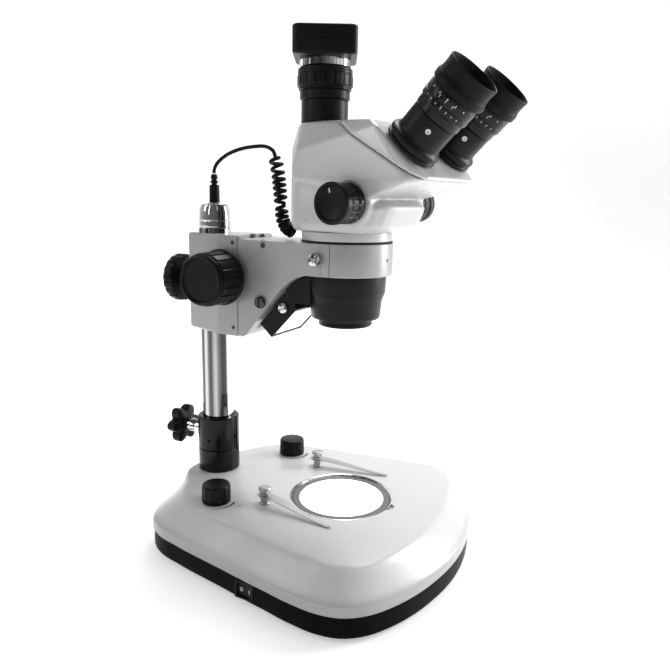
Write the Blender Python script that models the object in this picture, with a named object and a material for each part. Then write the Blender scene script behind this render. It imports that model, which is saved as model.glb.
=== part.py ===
"""Stereo zoom microscope on a post stand, built from separate pieces.

Frame: +Z up, the user sits on the -Y side, the optical axis is the line x = y = 0, and z = 0 is
the flat underside of the tray; the rubber feet reach FOOT_DROP below it.  All constants are
millimetres and degrees; MM makes them metres.  The optical head is built in its own frame and
then turned by HEAD_YAW inside the ring.
"""
import math

import bmesh
import bpy
from mathutils import Matrix, Vector

MM = 0.001
GAP = 0.3                 # clearance between neighbouring pieces

# Base and stage
TOP = 48.0                # flat top of the base
SEAM = 18.0               # joint between the white shell and the black tray
FOOT_DROP = 5.0
WALL = 2.6
STAGE_R = 47.8            # opening for the stage plate
PLATE_R = 47.4
WINDOW_R = 40.5
FOOT_R = 9.0
DIMMER_X, DIMMER_Y = 69.0, 98.0
CLIP_X, CLIP_Y = 51.0, 55.0
CLIP_OUTWARD = 9.0        # how far each clip is swung away from the optical axis
ROCKER_X, ROCKER_Y, ROCKER_Z = 123.4, 24.0, 9.3
ROCKER_TILT = 6.0

# Post
POST_Y = 147.0
POST_R = 16.0
COLLAR_R = 21.3
COLLAR_SEAM = TOP + 23.5
COLLAR_TOP = TOP + 58.2
CLAMP_Z = TOP + 39.5
CAP_BOTTOM = TOP + 252.3
CAP_TOP = TOP + 275.4

# Focus block and arm
BLOCK_LOW, BLOCK_HIGH = TOP + 152.0, TOP + 247.5
BLOCK_HALF = 30.0
BLOCK_FRONT = 97.6
PINION_Y, PINION_Z = 111.0, TOP + 209.0
PINION_PITCH_R = 6.0
PINION_TEETH = 12
RACK_TEETH = 21
LOCK_Z = TOP + 200.0
ARM_TOP = TOP + 244.5
RING_LOW, RING_HIGH = TOP + 216.7, TOP + 245.2
RING_R, NECK_R = 41.6, 38.0
RING_SCREW = (-41.6, 8.0, TOP + 231.5)
LAMP_PIVOT = (50.0, TOP + 184.0)     # y, z

# Head, in the head's own frame
HEAD_YAW = -9.0
NECK_TOP = TOP + 254.5
TUBE_Y, TUBE_R = 27.3, 20.7
TOWER_TOP = TOP + 347.5
ZOOM_Y, ZOOM_Z = -33.0, TOP + 279.0
EYE_X = 30.0
EYE_Y, EYE_Z = -78.6, TOP + 321.7    # where each eye tube's axis leaves the sloping face
EYE_TILT = 45.0
CAMERA_YAW = -54.0


def clear_scene():
    for old in list(bpy.data.objects):
        bpy.data.objects.remove(old, do_unlink=True)


def material(name, colour, rough, metal=0.0, alpha=1.0, glow=0.0):
    made = bpy.data.materials.new(name)
    made.use_nodes = True
    shader = made.node_tree.nodes["Principled BSDF"]
    shader.inputs["Base Color"].default_value = (*colour, 1.0)
    shader.inputs["Roughness"].default_value = rough
    shader.inputs["Metallic"].default_value = metal
    shader.inputs["Alpha"].default_value = alpha
    if glow:
        shader.inputs["Emission Color"].default_value = (*colour, 1.0)
        shader.inputs["Emission Strength"].default_value = glow
    return made


def place(x=0.0, y=0.0, z=0.0, direction=(0, 0, 1), side=(1, 0, 0), within=None):
    """A frame at (x, y, z) mm whose local Z runs along direction and local X near side."""
    up = Vector(direction).normalized()
    right = Vector(side)
    if abs(up.dot(right)) > 0.99 * right.length:
        right = Vector((0, 0, 1))
    right = (right - up * right.dot(up)).normalized()
    turned = Matrix((right, up.cross(right), up)).transposed().to_4x4()
    frame = Matrix.Translation(Vector((x, y, z)) * MM) @ turned
    return within @ frame if within is not None else frame


def finish(name, shape, look, frame=None, sharp=35.0, hidden=False):
    """Turn a bmesh drawn in millimetres into an object standing in the given frame."""
    bmesh.ops.scale(shape, vec=(MM, MM, MM), verts=shape.verts)
    bmesh.ops.recalc_face_normals(shape, faces=shape.faces)
    mesh = bpy.data.meshes.new(name)
    shape.to_mesh(mesh)
    shape.free()
    made = bpy.data.objects.new(name, mesh)
    bpy.context.scene.collection.objects.link(made)
    if frame is not None:
        made.matrix_world = frame
    if hidden:
        made.hide_render = True
        made.display_type = "WIRE"
        return made
    mesh.materials.append(look)
    mesh.shade_smooth()
    mesh.set_sharp_from_angle(angle=math.radians(sharp))
    return made


def loft(rings, closed=False):
    """Skin a list of equally long point rings; the ends are capped unless the rings close up."""
    shape = bmesh.new()
    rows = [[shape.verts.new(point) for point in ring] for ring in rings]
    pairs = list(zip(rows, rows[1:]))
    if closed:
        pairs.append((rows[-1], rows[0]))
    for lower, upper in pairs:
        for i in range(len(lower)):
            j = (i + 1) % len(lower)
            shape.faces.new((lower[i], lower[j], upper[j], upper[i]))
    if not closed:
        shape.faces.new(rows[0])
        shape.faces.new(rows[-1])
    return shape


def circle(radius, z, steps, cx=0.0, cy=0.0):
    turns = [2 * math.pi * i / steps for i in range(steps)]
    return [(cx + radius * math.cos(a), cy + radius * math.sin(a), z) for a in turns]


def turned(profile, steps=32, bored=False):
    """Revolve (radius, z) pairs about Z; a bored profile is a closed loop around a hole."""
    return loft([circle(r, z, steps) for r, z in profile], closed=bored)


def prism(outline, low, high):
    return loft([[(x, y, low) for x, y in outline], [(x, y, high) for x, y in outline]])


def box(x0, x1, y0, y1, z0, z1):
    return prism([(x0, y0), (x1, y0), (x1, y1), (x0, y1)], z0, z1)


def ribbed(radius, depth, count, duty=0.5):
    """Outline of a knob whose grip has count flat ribs."""
    points = []
    for i in range(count):
        start = 2 * math.pi * i / count
        step = 2 * math.pi / count
        for part, r in ((0.0, radius), (duty, radius), (duty + 0.1, radius - depth), (0.9, radius - depth)):
            points.append((r * math.cos(start + part * step), r * math.sin(start + part * step)))
    return points


def scaled(outline, factor, z):
    return [(x * factor, y * factor, z) for x, y in outline]


def smooth_radius(points, centre_y):
    """Periodic interpolation of a left-right symmetric outline given by its +X half."""
    polar = []
    for x, y in points:
        polar.append((math.atan2(y - centre_y, x), math.hypot(x, y - centre_y)))
        if x > 0.01:
            polar.append((math.atan2(y - centre_y, -x), math.hypot(x, y - centre_y)))
    polar = sorted((a % (2 * math.pi), r) for a, r in polar)

    def radius(angle):
        angle %= 2 * math.pi
        count = len(polar)
        after = next((i for i, (a, _) in enumerate(polar) if a > angle), 0)
        knots = []
        for k in (-2, -1, 0, 1):
            index = after + k
            a, r = polar[index % count]
            knots.append((a + 2 * math.pi * math.floor(index / count), r))
        if after == 0 and angle > polar[-1][0]:
            angle -= 2 * math.pi
        (a0, r0), (a1, r1), (a2, r2), (a3, r3) = knots
        slope1 = (r2 - r0) / (a2 - a0)
        slope2 = (r3 - r1) / (a3 - a1)
        span = a2 - a1
        t = (angle - a1) / span
        return ((2 * t**3 - 3 * t**2 + 1) * r1 + (t**3 - 2 * t**2 + t) * span * slope1
                + (3 * t**2 - 2 * t**3) * r2 + (t**3 - t**2) * span * slope2)

    return radius


def rounded_hull(points, radius, steps=8):
    """Convex body around small balls at the given points: flat facets with rounded edges."""
    shape = bmesh.new()
    for x, y, z in points:
        for ring in range(1, steps // 2):
            fall = math.pi * ring / (steps // 2)
            for i in range(steps):
                turn = 2 * math.pi * (i + 0.5) / steps
                shape.verts.new((x + radius * math.sin(fall) * math.cos(turn),
                                 y + radius * math.sin(fall) * math.sin(turn),
                                 z + radius * math.cos(fall)))
        shape.verts.new((x, y, z + radius))
        shape.verts.new((x, y, z - radius))
    found = bmesh.ops.convex_hull(shape, input=shape.verts)
    unused = [v for v in found["geom_interior"] if isinstance(v, bmesh.types.BMVert)]
    bmesh.ops.delete(shape, geom=unused, context="VERTS")
    loose = [v for v in shape.verts if not v.link_faces]
    bmesh.ops.delete(shape, geom=loose, context="VERTS")
    return shape


def rounded_rect(half_x, y0, y1, corner, steps=5):
    centres = [(half_x - corner, y1 - corner, 0), (-half_x + corner, y1 - corner, 90),
               (-half_x + corner, y0 + corner, 180), (half_x - corner, y0 + corner, 270)]
    points = []
    for cx, cy, start in centres:
        for i in range(steps + 1):
            a = math.radians(start + 90 * i / steps)
            points.append((cx + corner * math.cos(a), cy + corner * math.sin(a)))
    return points


def cut(target, cutter, kind="DIFFERENCE"):
    modifier = target.modifiers.new(cutter.name, "BOOLEAN")
    modifier.operation = kind
    modifier.solver = "EXACT"
    modifier.object = cutter


def cutter(name, shape, frame=None):
    return finish(name, shape, None, frame, hidden=True)


def soften(target, width, segments=2, angle=35.0):
    modifier = target.modifiers.new("edges", "BEVEL")
    modifier.width = width * MM
    modifier.segments = segments
    modifier.limit_method = "ANGLE"
    modifier.angle_limit = math.radians(angle)
    modifier.use_clamp_overlap = True


clear_scene()

WHITE = material("white_enamel", (0.86, 0.86, 0.85), 0.35)
GREY = material("grey_enamel", (0.62, 0.63, 0.64), 0.4)
BLACK = material("black_plastic", (0.02, 0.02, 0.022), 0.45)
ANODISED = material("black_anodised", (0.015, 0.015, 0.017), 0.3, 0.6)
RUBBER = material("black_rubber", (0.018, 0.018, 0.018), 0.75)
CHROME = material("chrome_plate", (0.85, 0.85, 0.86), 0.08, 1.0)
STEEL = material("ground_steel", (0.55, 0.56, 0.57), 0.28, 1.0)
BRASS = material("brass_gear", (0.75, 0.58, 0.28), 0.3, 1.0)
GLASS = material("clear_glass", (0.9, 0.95, 0.95), 0.05, 0.0, 0.4)
OPAL = material("opal_window", (0.95, 0.95, 0.93), 0.5, 0.0, 1.0, 1.0)
BOARD = material("lamp_board", (0.08, 0.2, 0.1), 0.5)

HEAD = Matrix.Rotation(math.radians(HEAD_YAW), 4, "Z")


# --- Base ------------------------------------------------------------------------------------

BASE_CENTRE_Y = 25.0
FOOTPRINT = [(0, -119.8), (26, -118.2), (50, -114), (74, -107.5), (98, -97.5), (119, -84), (132, -67),
             (136.5, -46), (135, -22), (130, 8), (123.5, 45), (118, 76), (111.5, 110), (104.5, 138),
             (92, 157), (66, 169), (34, 173), (0, 174)]
PLATEAU = [(0, -93.5), (34, -92), (66, -85.5), (93, -76.5), (108, -64), (114, -47), (111, -21), (104, 32),
           (97.5, 80), (91, 108), (78, 130), (60, 143), (46, 151), (37, 160), (24, 168.5), (0, 170)]


def base_ring(blend, z, inset, steps=44):
    """A level outline between the footprint (blend 0) and the plateau (blend 1)."""
    ring = []
    for i in range(steps):
        a = 2 * math.pi * i / steps
        r = (1 - blend) * footprint(a) + blend * plateau(a) - inset
        ring.append((r * math.cos(a), BASE_CENTRE_Y + r * math.sin(a), z))
    return ring


footprint = smooth_radius(FOOTPRINT, BASE_CENTRE_Y)
plateau = smooth_radius(PLATEAU, BASE_CENTRE_Y)


def base():
    skin = [(0.0, SEAM), (0.0, 26.2), (0.03, 27.8), (0.12, 29.8), (0.74, 43.4), (0.92, 47.0), (1.05, TOP)]
    lining = [(0.0, SEAM), (0.0, 23.6), (0.03, 25.2), (0.74, 40.8), (1.05, TOP - WALL)]
    outer = [base_ring(blend, z, 0.0) for blend, z in skin]
    inner = [base_ring(blend, z, WALL) for blend, z in lining]
    shell = finish("base_shell", loft([*reversed(inner), *outer]), WHITE, sharp=28)
    cut(shell, cutter("stage_opening", turned([(STAGE_R, TOP - 8), (STAGE_R, TOP - 1.4),
                                               (STAGE_R + 1.5, TOP + 0.1), (STAGE_R + 1.5, TOP + 6)], 40)))
    cut(shell, cutter("finger_notch", turned([(7.0, TOP - 2.0), (7.0, TOP + 4)], 24),
                      place(0, -STAGE_R, 0)))
    for side, x in (("l", -1), ("r", 1)):
        cut(shell, cutter("dimmer_hole_" + side, turned([(3.6, TOP - 9), (3.6, TOP + 5)], 20),
                          place(x * DIMMER_X, DIMMER_Y, 0)))
        cut(shell, cutter("clip_hole_" + side, turned([(2.1, TOP - 9), (2.1, TOP + 5)], 16),
                          place(x * CLIP_X, CLIP_Y, 0)))
    cut(shell, cutter("post_hole", turned([(6.4, TOP - 9), (6.4, TOP + 5)], 24), place(0, POST_Y, 0)))

    walls = [(1.2, SEAM - GAP), (1.2, 3.0), (2.0, 0.9), (4.2, 0.0)]
    outside = [base_ring(0.0, z, inset) for inset, z in walls]
    inside = [base_ring(0.0, SEAM - GAP, 3.8), base_ring(0.0, 3.2, 3.8)]
    tray = finish("base_tray", loft([*reversed(outside), *inside]), BLACK)
    cut(tray, cutter("switch_opening", box(-140, -110, 15.4, 32.6, 2.9, 15.7)))
    cut(tray, cutter("inlet_opening", turned([(5.3, -12), (5.3, 12)], 20),
                     place(32, 170.5, 9, direction=(0, 1, 0))))
    for name, x, y in (("foot_front_l", -98, -62), ("foot_front_r", 98, -62),
                       ("foot_back_l", -84, 132), ("foot_back_r", 84, 132)):
        pad = turned([(FOOT_R - 1.2, -FOOT_DROP), (FOOT_R, 1.2 - FOOT_DROP), (FOOT_R - 0.6, -GAP)], 20)
        finish(name, pad, RUBBER, place(x, y, 0))


def stage():
    flange = [(WINDOW_R + GAP, TOP - 6.6), (WINDOW_R + GAP, TOP - 3.6), (54.0, TOP - 3.6),
              (54.0, 3.6), (51.4, 3.6), (51.4, TOP - 6.6)]
    finish("light_well", turned(flange, 28, bored=True), ANODISED)
    window = [(WINDOW_R, TOP - 6.6), (WINDOW_R, TOP - 3.6)]
    finish("light_window", turned(window, 28), OPAL)
    board = [(49.0, 6.0), (49.0, 7.6), (44.0, 7.6), (44.0, 8.6)]
    finish("lamp_board", turned(board, 24), BOARD)
    plate = [(PLATE_R - 0.4, TOP - 3.3), (PLATE_R, TOP - 2.9), (PLATE_R, TOP - 1.6),
             (PLATE_R - 0.4, TOP - 1.2)]
    finish("stage_plate", turned(plate, 40), GLASS)


def dimmers():
    for side, x in (("l", -1), ("r", 1)):
        grip = [[(px, py, z) for px, py in ribbed(r, 0.9, 10, 0.6)]
                for r, z in ((13.5, 0.5), (13.3, 15.4), (11.9, 17.4))]
        stem = [circle(3.2, z, 40) for z in (-14.0, 0.5)]
        finish("dimmer_knob_" + side, loft([*stem, *grip]), BLACK,
               place(x * DIMMER_X, DIMMER_Y, TOP))


def power():
    """Rocker switch in the left wall, pressed to its off side, and the supply socket at the back."""
    pivot = place(-ROCKER_X, ROCKER_Y, ROCKER_Z, direction=(-1, 0, 0), side=(0, 1, 0))
    tilted = pivot @ Matrix.Rotation(math.radians(ROCKER_TILT), 4, "Y")
    face = rounded_rect(7.9, -6.1, 6.1, 0.6, 2)
    rocker = finish("power_rocker", loft([scaled(face, 1, z) for z in (-3.8, 3.6)]), BLACK, tilted)
    cut(rocker, cutter("rocker_dish", turned([(60, -20), (60, 20)], 64),
                       place(z=63.0, direction=(0, 1, 0), within=tilted)))
    barrel = [(4.9, -9.0), (4.9, 1.4), (3.0, 1.4), (3.0, -7.0), (0.9, -7.0), (0.9, 0.6)]
    finish("power_inlet", turned(barrel, 16), ANODISED, place(32, 172.3, 9, direction=(0, 1, 0)))


def clips():
    for side, x in (("l", -1), ("r", 1)):
        frame = place(x * CLIP_X, CLIP_Y, TOP)
        pillar = [(1.8, -6), (1.8, 0.4), (4.6, 0.4), (4.0, 6.6), (5.0, 7.9), (2.9, 7.9), (2.9, 9.0),
                  (5.2, 9.0), (5.2, 11.0), (3.2, 12.0), (5.9, 14.2), (5.6, 17.2)]
        finish("clip_pillar_" + side, turned(pillar, 12), CHROME, frame)
        swing = Matrix.Rotation(math.radians(x * CLIP_OUTWARD), 4, "Z")
        stations = [(7, 3.0, 0.0), (4, 5.4, 0.0), (-6, 5.6, 0.0), (-14, 5.0, -0.1), (-44, 3.4, -4.0),
                    (-72, 2.1, -7.0), (-77, 1.9, -7.3), (-81, 1.5, -6.8)]
        rings = [[(-w, y, z), (w, y, z), (w, y, z + 0.8), (-w, y, z + 0.8)] for y, w, z in stations]
        blade = finish("clip_blade_" + side, loft(rings), STEEL,
                       place(x * CLIP_X, CLIP_Y, TOP + 8.05) @ swing)
        cut(blade, cutter("blade_eye_" + side, turned([(3.1, -3), (3.1, 4)], 16),
                          place(z=8.05, within=frame)))


# --- Post ------------------------------------------------------------------------------------

def post():
    bore = POST_R + GAP
    foot = [(bore, TOP + GAP), (COLLAR_R, TOP + GAP), (COLLAR_R, COLLAR_SEAM - 0.5),
            (COLLAR_R - 0.5, COLLAR_SEAM), (bore, COLLAR_SEAM)]
    finish("post_foot", turned(foot, 28, bored=True), ANODISED, place(0, POST_Y, 0))
    low = COLLAR_SEAM + GAP
    ring = [(bore, low), (COLLAR_R - 0.5, low), (COLLAR_R, low + 0.5), (COLLAR_R, COLLAR_TOP - 0.8),
            (COLLAR_R - 0.8, COLLAR_TOP), (bore, COLLAR_TOP)]
    collar = finish("post_clamp", turned(ring, 28, bored=True), ANODISED, place(0, POST_Y, 0))
    cut(collar, cutter("clamp_bore", turned([(4.3, 0), (4.3, 40)], 20),
                       place(0, POST_Y + 12, CLAMP_Z, direction=(0, 1, 0))))
    cut(collar, cutter("clamp_slit", box(-1.2, 1.2, POST_Y - 30, POST_Y - 12, low - 2, COLLAR_TOP + 2)))
    cut(collar, cutter("clamp_screw_hole", turned([(2.2, 0), (2.2, 3)], 16),
                       place(-9.2, POST_Y - 20.6, CLAMP_Z - 8, direction=(-0.43, -0.9, 0))))
    tube = [(POST_R, TOP + GAP), (POST_R, CAP_BOTTOM - GAP), (POST_R - 2, CAP_BOTTOM - GAP),
            (POST_R - 2, TOP + GAP)]
    finish("post", turned(tube, 28, bored=True), CHROME, place(0, POST_Y, 0))
    cap = [(POST_R - 0.6, CAP_BOTTOM), (POST_R, CAP_BOTTOM + 0.6), (POST_R, CAP_BOTTOM + 10),
           (POST_R - 1.6, CAP_TOP - 2.4), (POST_R - 3.2, CAP_TOP)]
    finish("post_cap", turned(cap, 28), CHROME, place(0, POST_Y, 0))
    star = []
    lobes = 6
    for i in range(lobes * 5):
        a = 2 * math.pi * i / (lobes * 5)
        r = 17.2 + 3.8 * math.cos(lobes * a)
        star.append((r * math.cos(a), r * math.sin(a)))
    # stud, washer face, shoulder and lobed grip, all round the screw's own axis
    rings = [circle(r, z, 30) for r, z in ((3.9, 2.2), (3.9, 20.0), (6.4, 20.0), (6.4, 27.0))]
    rings += [scaled(star, f, z) for f, z in ((0.9, 27.0), (1.0, 29.0), (1.0, 36.5), (0.85, 39.5))]
    finish("clamp_knob", loft(rings), BLACK, place(0, POST_Y + 15.4, CLAMP_Z, direction=(0, 1, 0)))


# --- Focus block, pinion and arm -------------------------------------------------------------

def focus_block():
    sleeve = [(POST_R + 0.1, BLOCK_LOW + 4), (POST_R + 1.6, BLOCK_LOW + 4), (POST_R + 1.6, BLOCK_HIGH - 4),
              (POST_R + 0.1, BLOCK_HIGH - 4)]
    finish("post_bush", turned(sleeve, 28, bored=True), BRASS, place(0, POST_Y, 0))
    plan = [(-BLOCK_HALF, BLOCK_FRONT), (BLOCK_HALF, BLOCK_FRONT), (BLOCK_HALF, 122), (15, 169.5),
            (-15, 169.5), (-BLOCK_HALF, 122)]
    block = finish("focus_block", prism(plan, BLOCK_LOW, BLOCK_HIGH), GREY)
    soften(block, 2.0, 1, 20)
    reach = (BLOCK_LOW - 5, BLOCK_HIGH + 5)
    cut(block, cutter("post_way", turned([(POST_R + 0.3, reach[0]), (POST_R + 0.3, BLOCK_LOW + 3.7),
                                          (POST_R + 1.9, BLOCK_LOW + 3.7), (POST_R + 1.9, BLOCK_HIGH - 3.7),
                                          (POST_R + 0.3, BLOCK_HIGH - 3.7), (POST_R + 0.3, reach[1])], 28),
                      place(0, POST_Y, 0)))
    groove = [(-14.4, 90), (14.4, 90), (14.4, 97.3), (18.6, 102.4), (5.4, 102.4), (5.4, 106.4),
              (-5.4, 106.4), (-5.4, 102.4), (-18.6, 102.4), (-14.4, 97.3)]
    cut(block, cutter("slide_way", prism(groove, *reach)))
    across = place(0, PINION_Y, PINION_Z, direction=(1, 0, 0), side=(0, 0, 1))
    gear_room = [(4.1, -40), (4.1, -6), (7.6, -6), (7.6, 6), (4.1, 6), (4.1, 40)]
    cut(block, cutter("pinion_way", turned(gear_room, 24), across))
    cut(block, cutter("lock_way", turned([(4.2, 0), (4.2, 30)], 20),
                      place(0, POST_Y + 17, LOCK_Z, direction=(0, 1, 0))))

    teeth = []
    for i in range(PINION_TEETH):
        middle = 2 * math.pi * (i + 0.5) / PINION_TEETH
        for r, half in ((4.9, 0.2), (6.9, 0.065), (6.9, -0.065), (4.9, -0.2)):
            teeth.append((r * math.cos(middle - half), r * math.sin(middle - half)))
    bar = [[(4.0 * math.cos(math.atan2(y, x)), 4.0 * math.sin(math.atan2(y, x)), z) for x, y in teeth]
           for z in (-66.0, -5.2)]
    gear = [[(x, y, z) for x, y in teeth] for z in (-5.2, 5.2)]
    rest = [[(x, y, -z) for x, y, z in ring] for ring in reversed(bar)]
    finish("pinion_shaft", loft([*bar, *gear, *rest]), STEEL, across, sharp=25)

    for side, x in (("l", -1), ("r", 1)):
        outward = place(x * BLOCK_HALF, PINION_Y, PINION_Z, direction=(x, 0, 0), side=(0, 0, 1))
        grip = [[(px, py, z) for px, py in ribbed(r, d, 11, 0.6)]
                for r, d, z in ((26.3, 0.05, 8.0), (26.3, 0.05, 10.4), (24.6, 0.9, 11.0),
                                (24.6, 0.9, 34.5), (23.6, 0.05, 35.4), (22.6, 0.05, 40.6))]
        hub = [circle(r, z, 44) for r, z in ((4.3, 36.3), (4.3, 0.7), (9.0, 0.7), (9.0, 8.0))]
        dish = [circle(r, z, 44) for r, z in ((17.6, 40.9), (17.0, 38.6))]
        finish("focus_knob_" + side, loft([*hub, *grip, *dish]), BLACK, outward)

    wheel = [[(px, py, z) for px, py in ribbed(r, 1.0, 11, 0.5)]
             for r, z in ((24.0, 21.6), (24.2, 30.4), (22.6, 32.2))]
    stud = [circle(r, z, 44) for r, z in ((3.9, 1.0), (3.9, 5.8), (9.0, 5.8), (9.0, 21.6))]
    finish("lock_knob", loft([*stud, *wheel]), BLACK, place(0, POST_Y + 17.2, LOCK_Z, direction=(0, 1, 0)))


def rack_outline():
    """Side view (y, z) of the rack: a strip whose teeth face the pinion."""
    back, root, tip = 102.3, 103.65, 105.75
    pitch = 2 * math.pi * PINION_PITCH_R / PINION_TEETH
    reach = RACK_TEETH // 2 * pitch + 2
    outline = [(back, PINION_Z + reach), (back, PINION_Z - reach), (root, PINION_Z - reach)]
    for i in range(-(RACK_TEETH // 2), RACK_TEETH // 2 + 1):
        z = PINION_Z + i * pitch
        outline += [(root, z - 0.7), (tip, z - 0.36), (tip, z + 0.36), (root, z + 0.7)]
    outline.append((root, PINION_Z + reach))
    return outline


def arm():
    # the plane of the side views: local X is +Y, local Y is up, local Z is +X
    side_plane = place(direction=(1, 0, 0), side=(0, 1, 0))
    side_view = [(97.3, ARM_TOP), (97.3, TOP + 155), (93.5, TOP + 152.6), (88.0, TOP + 155.5),
                 (70.0, TOP + 176.5), (53.0, TOP + 195.5), (46.0, TOP + 203), (38.0, TOP + 209.5),
                 (30.0, TOP + 214), (20.0, RING_LOW), (0.0, RING_LOW), (0.0, ARM_TOP)]
    body = finish("focus_arm", prism(side_view, -45, 45), GREY, side_plane)
    plan = [(-31, 97.4), (31, 97.4), (41.6, 6.0), (41.6, -4.0), (-41.6, -4.0), (-41.6, 6.0)]
    cut(body, cutter("arm_plan", prism(plan, TOP + 130, TOP + 270)), "INTERSECT")
    tongue = [(-14, 96.0), (14, 96.0), (14, 97.4), (18, 102.0), (-18, 102.0), (-14, 97.4)]
    cut(body, cutter("arm_tongue", prism(tongue, TOP + 158, ARM_TOP - 2)), "UNION")
    cut(body, cutter("ring_room", turned([(RING_R + GAP, TOP + 200), (RING_R + GAP, TOP + 260)], 40)))
    hollow = [(-24, 52), (24, 52), (22, 84), (-22, 84)]
    cut(body, cutter("arm_hollow", prism(hollow, TOP + 130, TOP + 236)))
    soften(body, 1.2, 1, 40)
    finish("rack", prism(rack_outline(), -5, 5), BRASS, side_plane, sharp=25)

    ring = [(NECK_R + GAP, RING_LOW), (RING_R - 0.8, RING_LOW), (RING_R, RING_LOW + 0.8),
            (RING_R, RING_HIGH - 0.8), (RING_R - 0.8, RING_HIGH), (NECK_R + GAP, RING_HIGH)]
    holder = finish("ring_holder", turned(ring, 36, bored=True), GREY)
    x, y, z = RING_SCREW
    screw_axis = place(x, y, z, direction=(-1, 0, 0))
    cut(holder, cutter("ring_screw_way", turned([(3.2, -12), (3.2, 12)], 16), screw_axis))
    cut(body, cutter("ring_screw_room", turned([(6.2, -6), (6.2, 20)], 16), screw_axis))
    screw = [(2.9, -3.0), (2.9, 1.6), (4.6, 1.8), (5.6, 2.4), (5.6, 6.4), (4.9, 7.2)]
    finish("ring_screw", turned(screw, 18), CHROME, screw_axis)

    # the tension screw stands square to the arm's slanting left wall
    wall = Vector((-10.6, -91.4, 0)).normalized()
    out = Vector((-91.4, 10.6, 0)).normalized()
    tension = place(-31 + wall.x * 28, 97.3 + wall.y * 28, TOP + 188.5, direction=out, side=(0, 0, 1))
    cut(body, cutter("tension_way", turned([(2.6, -8), (2.6, 8)], 14), tension))
    screw = [(2.3, -6), (2.3, 0.3), (5.2, 0.3), (5.5, 0.8), (5.5, 3.4), (5.0, 4.0)]
    made = finish("tension_screw", turned(screw, 18), STEEL, tension)
    cut(made, cutter("tension_slot", box(-8, 8, -0.7, 0.7, 2.6, 6), tension))


def lamp():
    """Tilting lamp under the arm and the bracket that carries its hinge pin."""
    y, z = LAMP_PIVOT
    # local X runs up the lamp, local Y out of its window, local Z along the hinge pin
    frame = place(0, y, z, direction=(1, 0, 0), side=(0, -28.0, 30.0))
    side_view = [(-30, -7.2), (5.5, -7.2), (10, -4.9), (12.6, -1.5), (12.9, 1.5), (11.5, 6), (9, 10.3),
                 (-30, 10.3)]
    housing = finish("lamp_housing", prism(side_view, -27, 27), BLACK, frame)
    cut(housing, cutter("lamp_hollow", box(-28.6, 7.2, -5.2, 14.0, -25, 25), frame))
    cut(housing, cutter("lamp_pin_way", turned([(2.6, -30), (2.6, 30)], 16), frame))
    cut(housing, cutter("lamp_tongue_room", box(3.0, 16.0, -3.6, 14.0, -6.4, 6.4), frame))
    finish("lamp_window", box(-28.3, 2.6, 8.6, 10.2, -24.7, 24.7), OPAL, frame)

    side_plane = place(direction=(1, 0, 0), side=(0, 1, 0))
    side_view = [(19.0, TOP + 190), (35.9, TOP + 190), (45.9, TOP + 199.3), (44.6, TOP + 202.5),
                 (37.4, TOP + 208.0), (29.4, TOP + 212.6), (19.0, TOP + 215.4)]
    holder = finish("lamp_bracket", prism(side_view, -31, 31), BLACK, side_plane)
    cut(holder, cutter("objective_room", turned([(36.9, TOP + 180), (36.9, TOP + 230)], 40)))
    cut(holder, cutter("lamp_tongue", box(-3.2, 18.0, -2.9, 2.9, -6, 6), frame), "UNION")
    cut(holder, cutter("lamp_pin", turned([(2.4, -27.8), (2.4, 27.8)], 16), frame), "UNION")


# --- Cord ------------------------------------------------------------------------------------

LEAD = [(147.0, 304.6), (146.6, 308.6), (143.6, 313.6), (138.0, 318.2), (128.0, 323.5), (113.0, 327.6),
        (97.0, 329.3), (86.0, 328.8), (78.5, 325.0), (76.0, 319.2)]
COIL = [(76.0, 318.9), (72.6, 303.0), (71.0, 290.0), (69.6, 276.0), (68.2, 264.5), (64.4, 256.5),
        (60.6, 253.6), (56.6, 252.0)]


def spline(points, count):
    """count + 1 evenly timed points on a Catmull-Rom curve through the given (y, z) pairs."""
    ends = [points[0], *points, points[-1]]
    made = []
    for k in range(count + 1):
        t = k * (len(points) - 1) / count
        i = min(int(t), len(points) - 2)
        t -= i
        p0, p1, p2, p3 = ends[i:i + 4]
        made.append([0.5 * (2 * b + (c - a) * t + (2 * a - 5 * b + 4 * c - d) * t * t
                            + (3 * b - a - 3 * c + d) * t**3) for a, b, c, d in zip(p0, p1, p2, p3)])
    return made


def tube(name, points, radius, smoothness, look):
    curve = bpy.data.curves.new(name, "CURVE")
    curve.dimensions = "3D"
    curve.bevel_depth = radius * MM
    curve.bevel_resolution = smoothness
    curve.use_fill_caps = True
    path = curve.splines.new("POLY")
    path.points.add(len(points) - 1)
    for point, (y, z) in zip(path.points, points):
        point.co = (0.0, y * MM, (TOP + z) * MM, 1.0)
    curve.materials.append(look)
    made = bpy.data.objects.new(name, curve)
    bpy.context.scene.collection.objects.link(made)


def cord():
    plug = [(4.9, 0.3), (5.1, 1.0), (4.7, 18.0), (2.6, 18.6), (2.6, 20.0), (4.0, 20.4), (3.9, 22.0),
            (2.5, 22.4), (2.5, 23.8), (3.4, 24.2), (3.2, 27.0), (2.2, 28.6)]
    finish("cord_plug", turned(plug, 12), BLACK, place(0, POST_Y, CAP_TOP))
    tube("cord_lead", spline(LEAD, 18), 1.75, 2, RUBBER)
    steps = spline(COIL, 22)
    tube("cord_coil_upper", steps[:12], 6.4, 3, RUBBER)
    y0, z0 = steps[11]
    y1, z1 = steps[12]
    reach = math.hypot(y1 - y0, z1 - z0)
    steps[11] = (y0 + (y1 - y0) * GAP / reach, z0 + (z1 - z0) * GAP / reach)
    tube("cord_coil_lower", steps[11:], 6.4, 3, RUBBER)


# --- Head ------------------------------------------------------------------------------------

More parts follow.
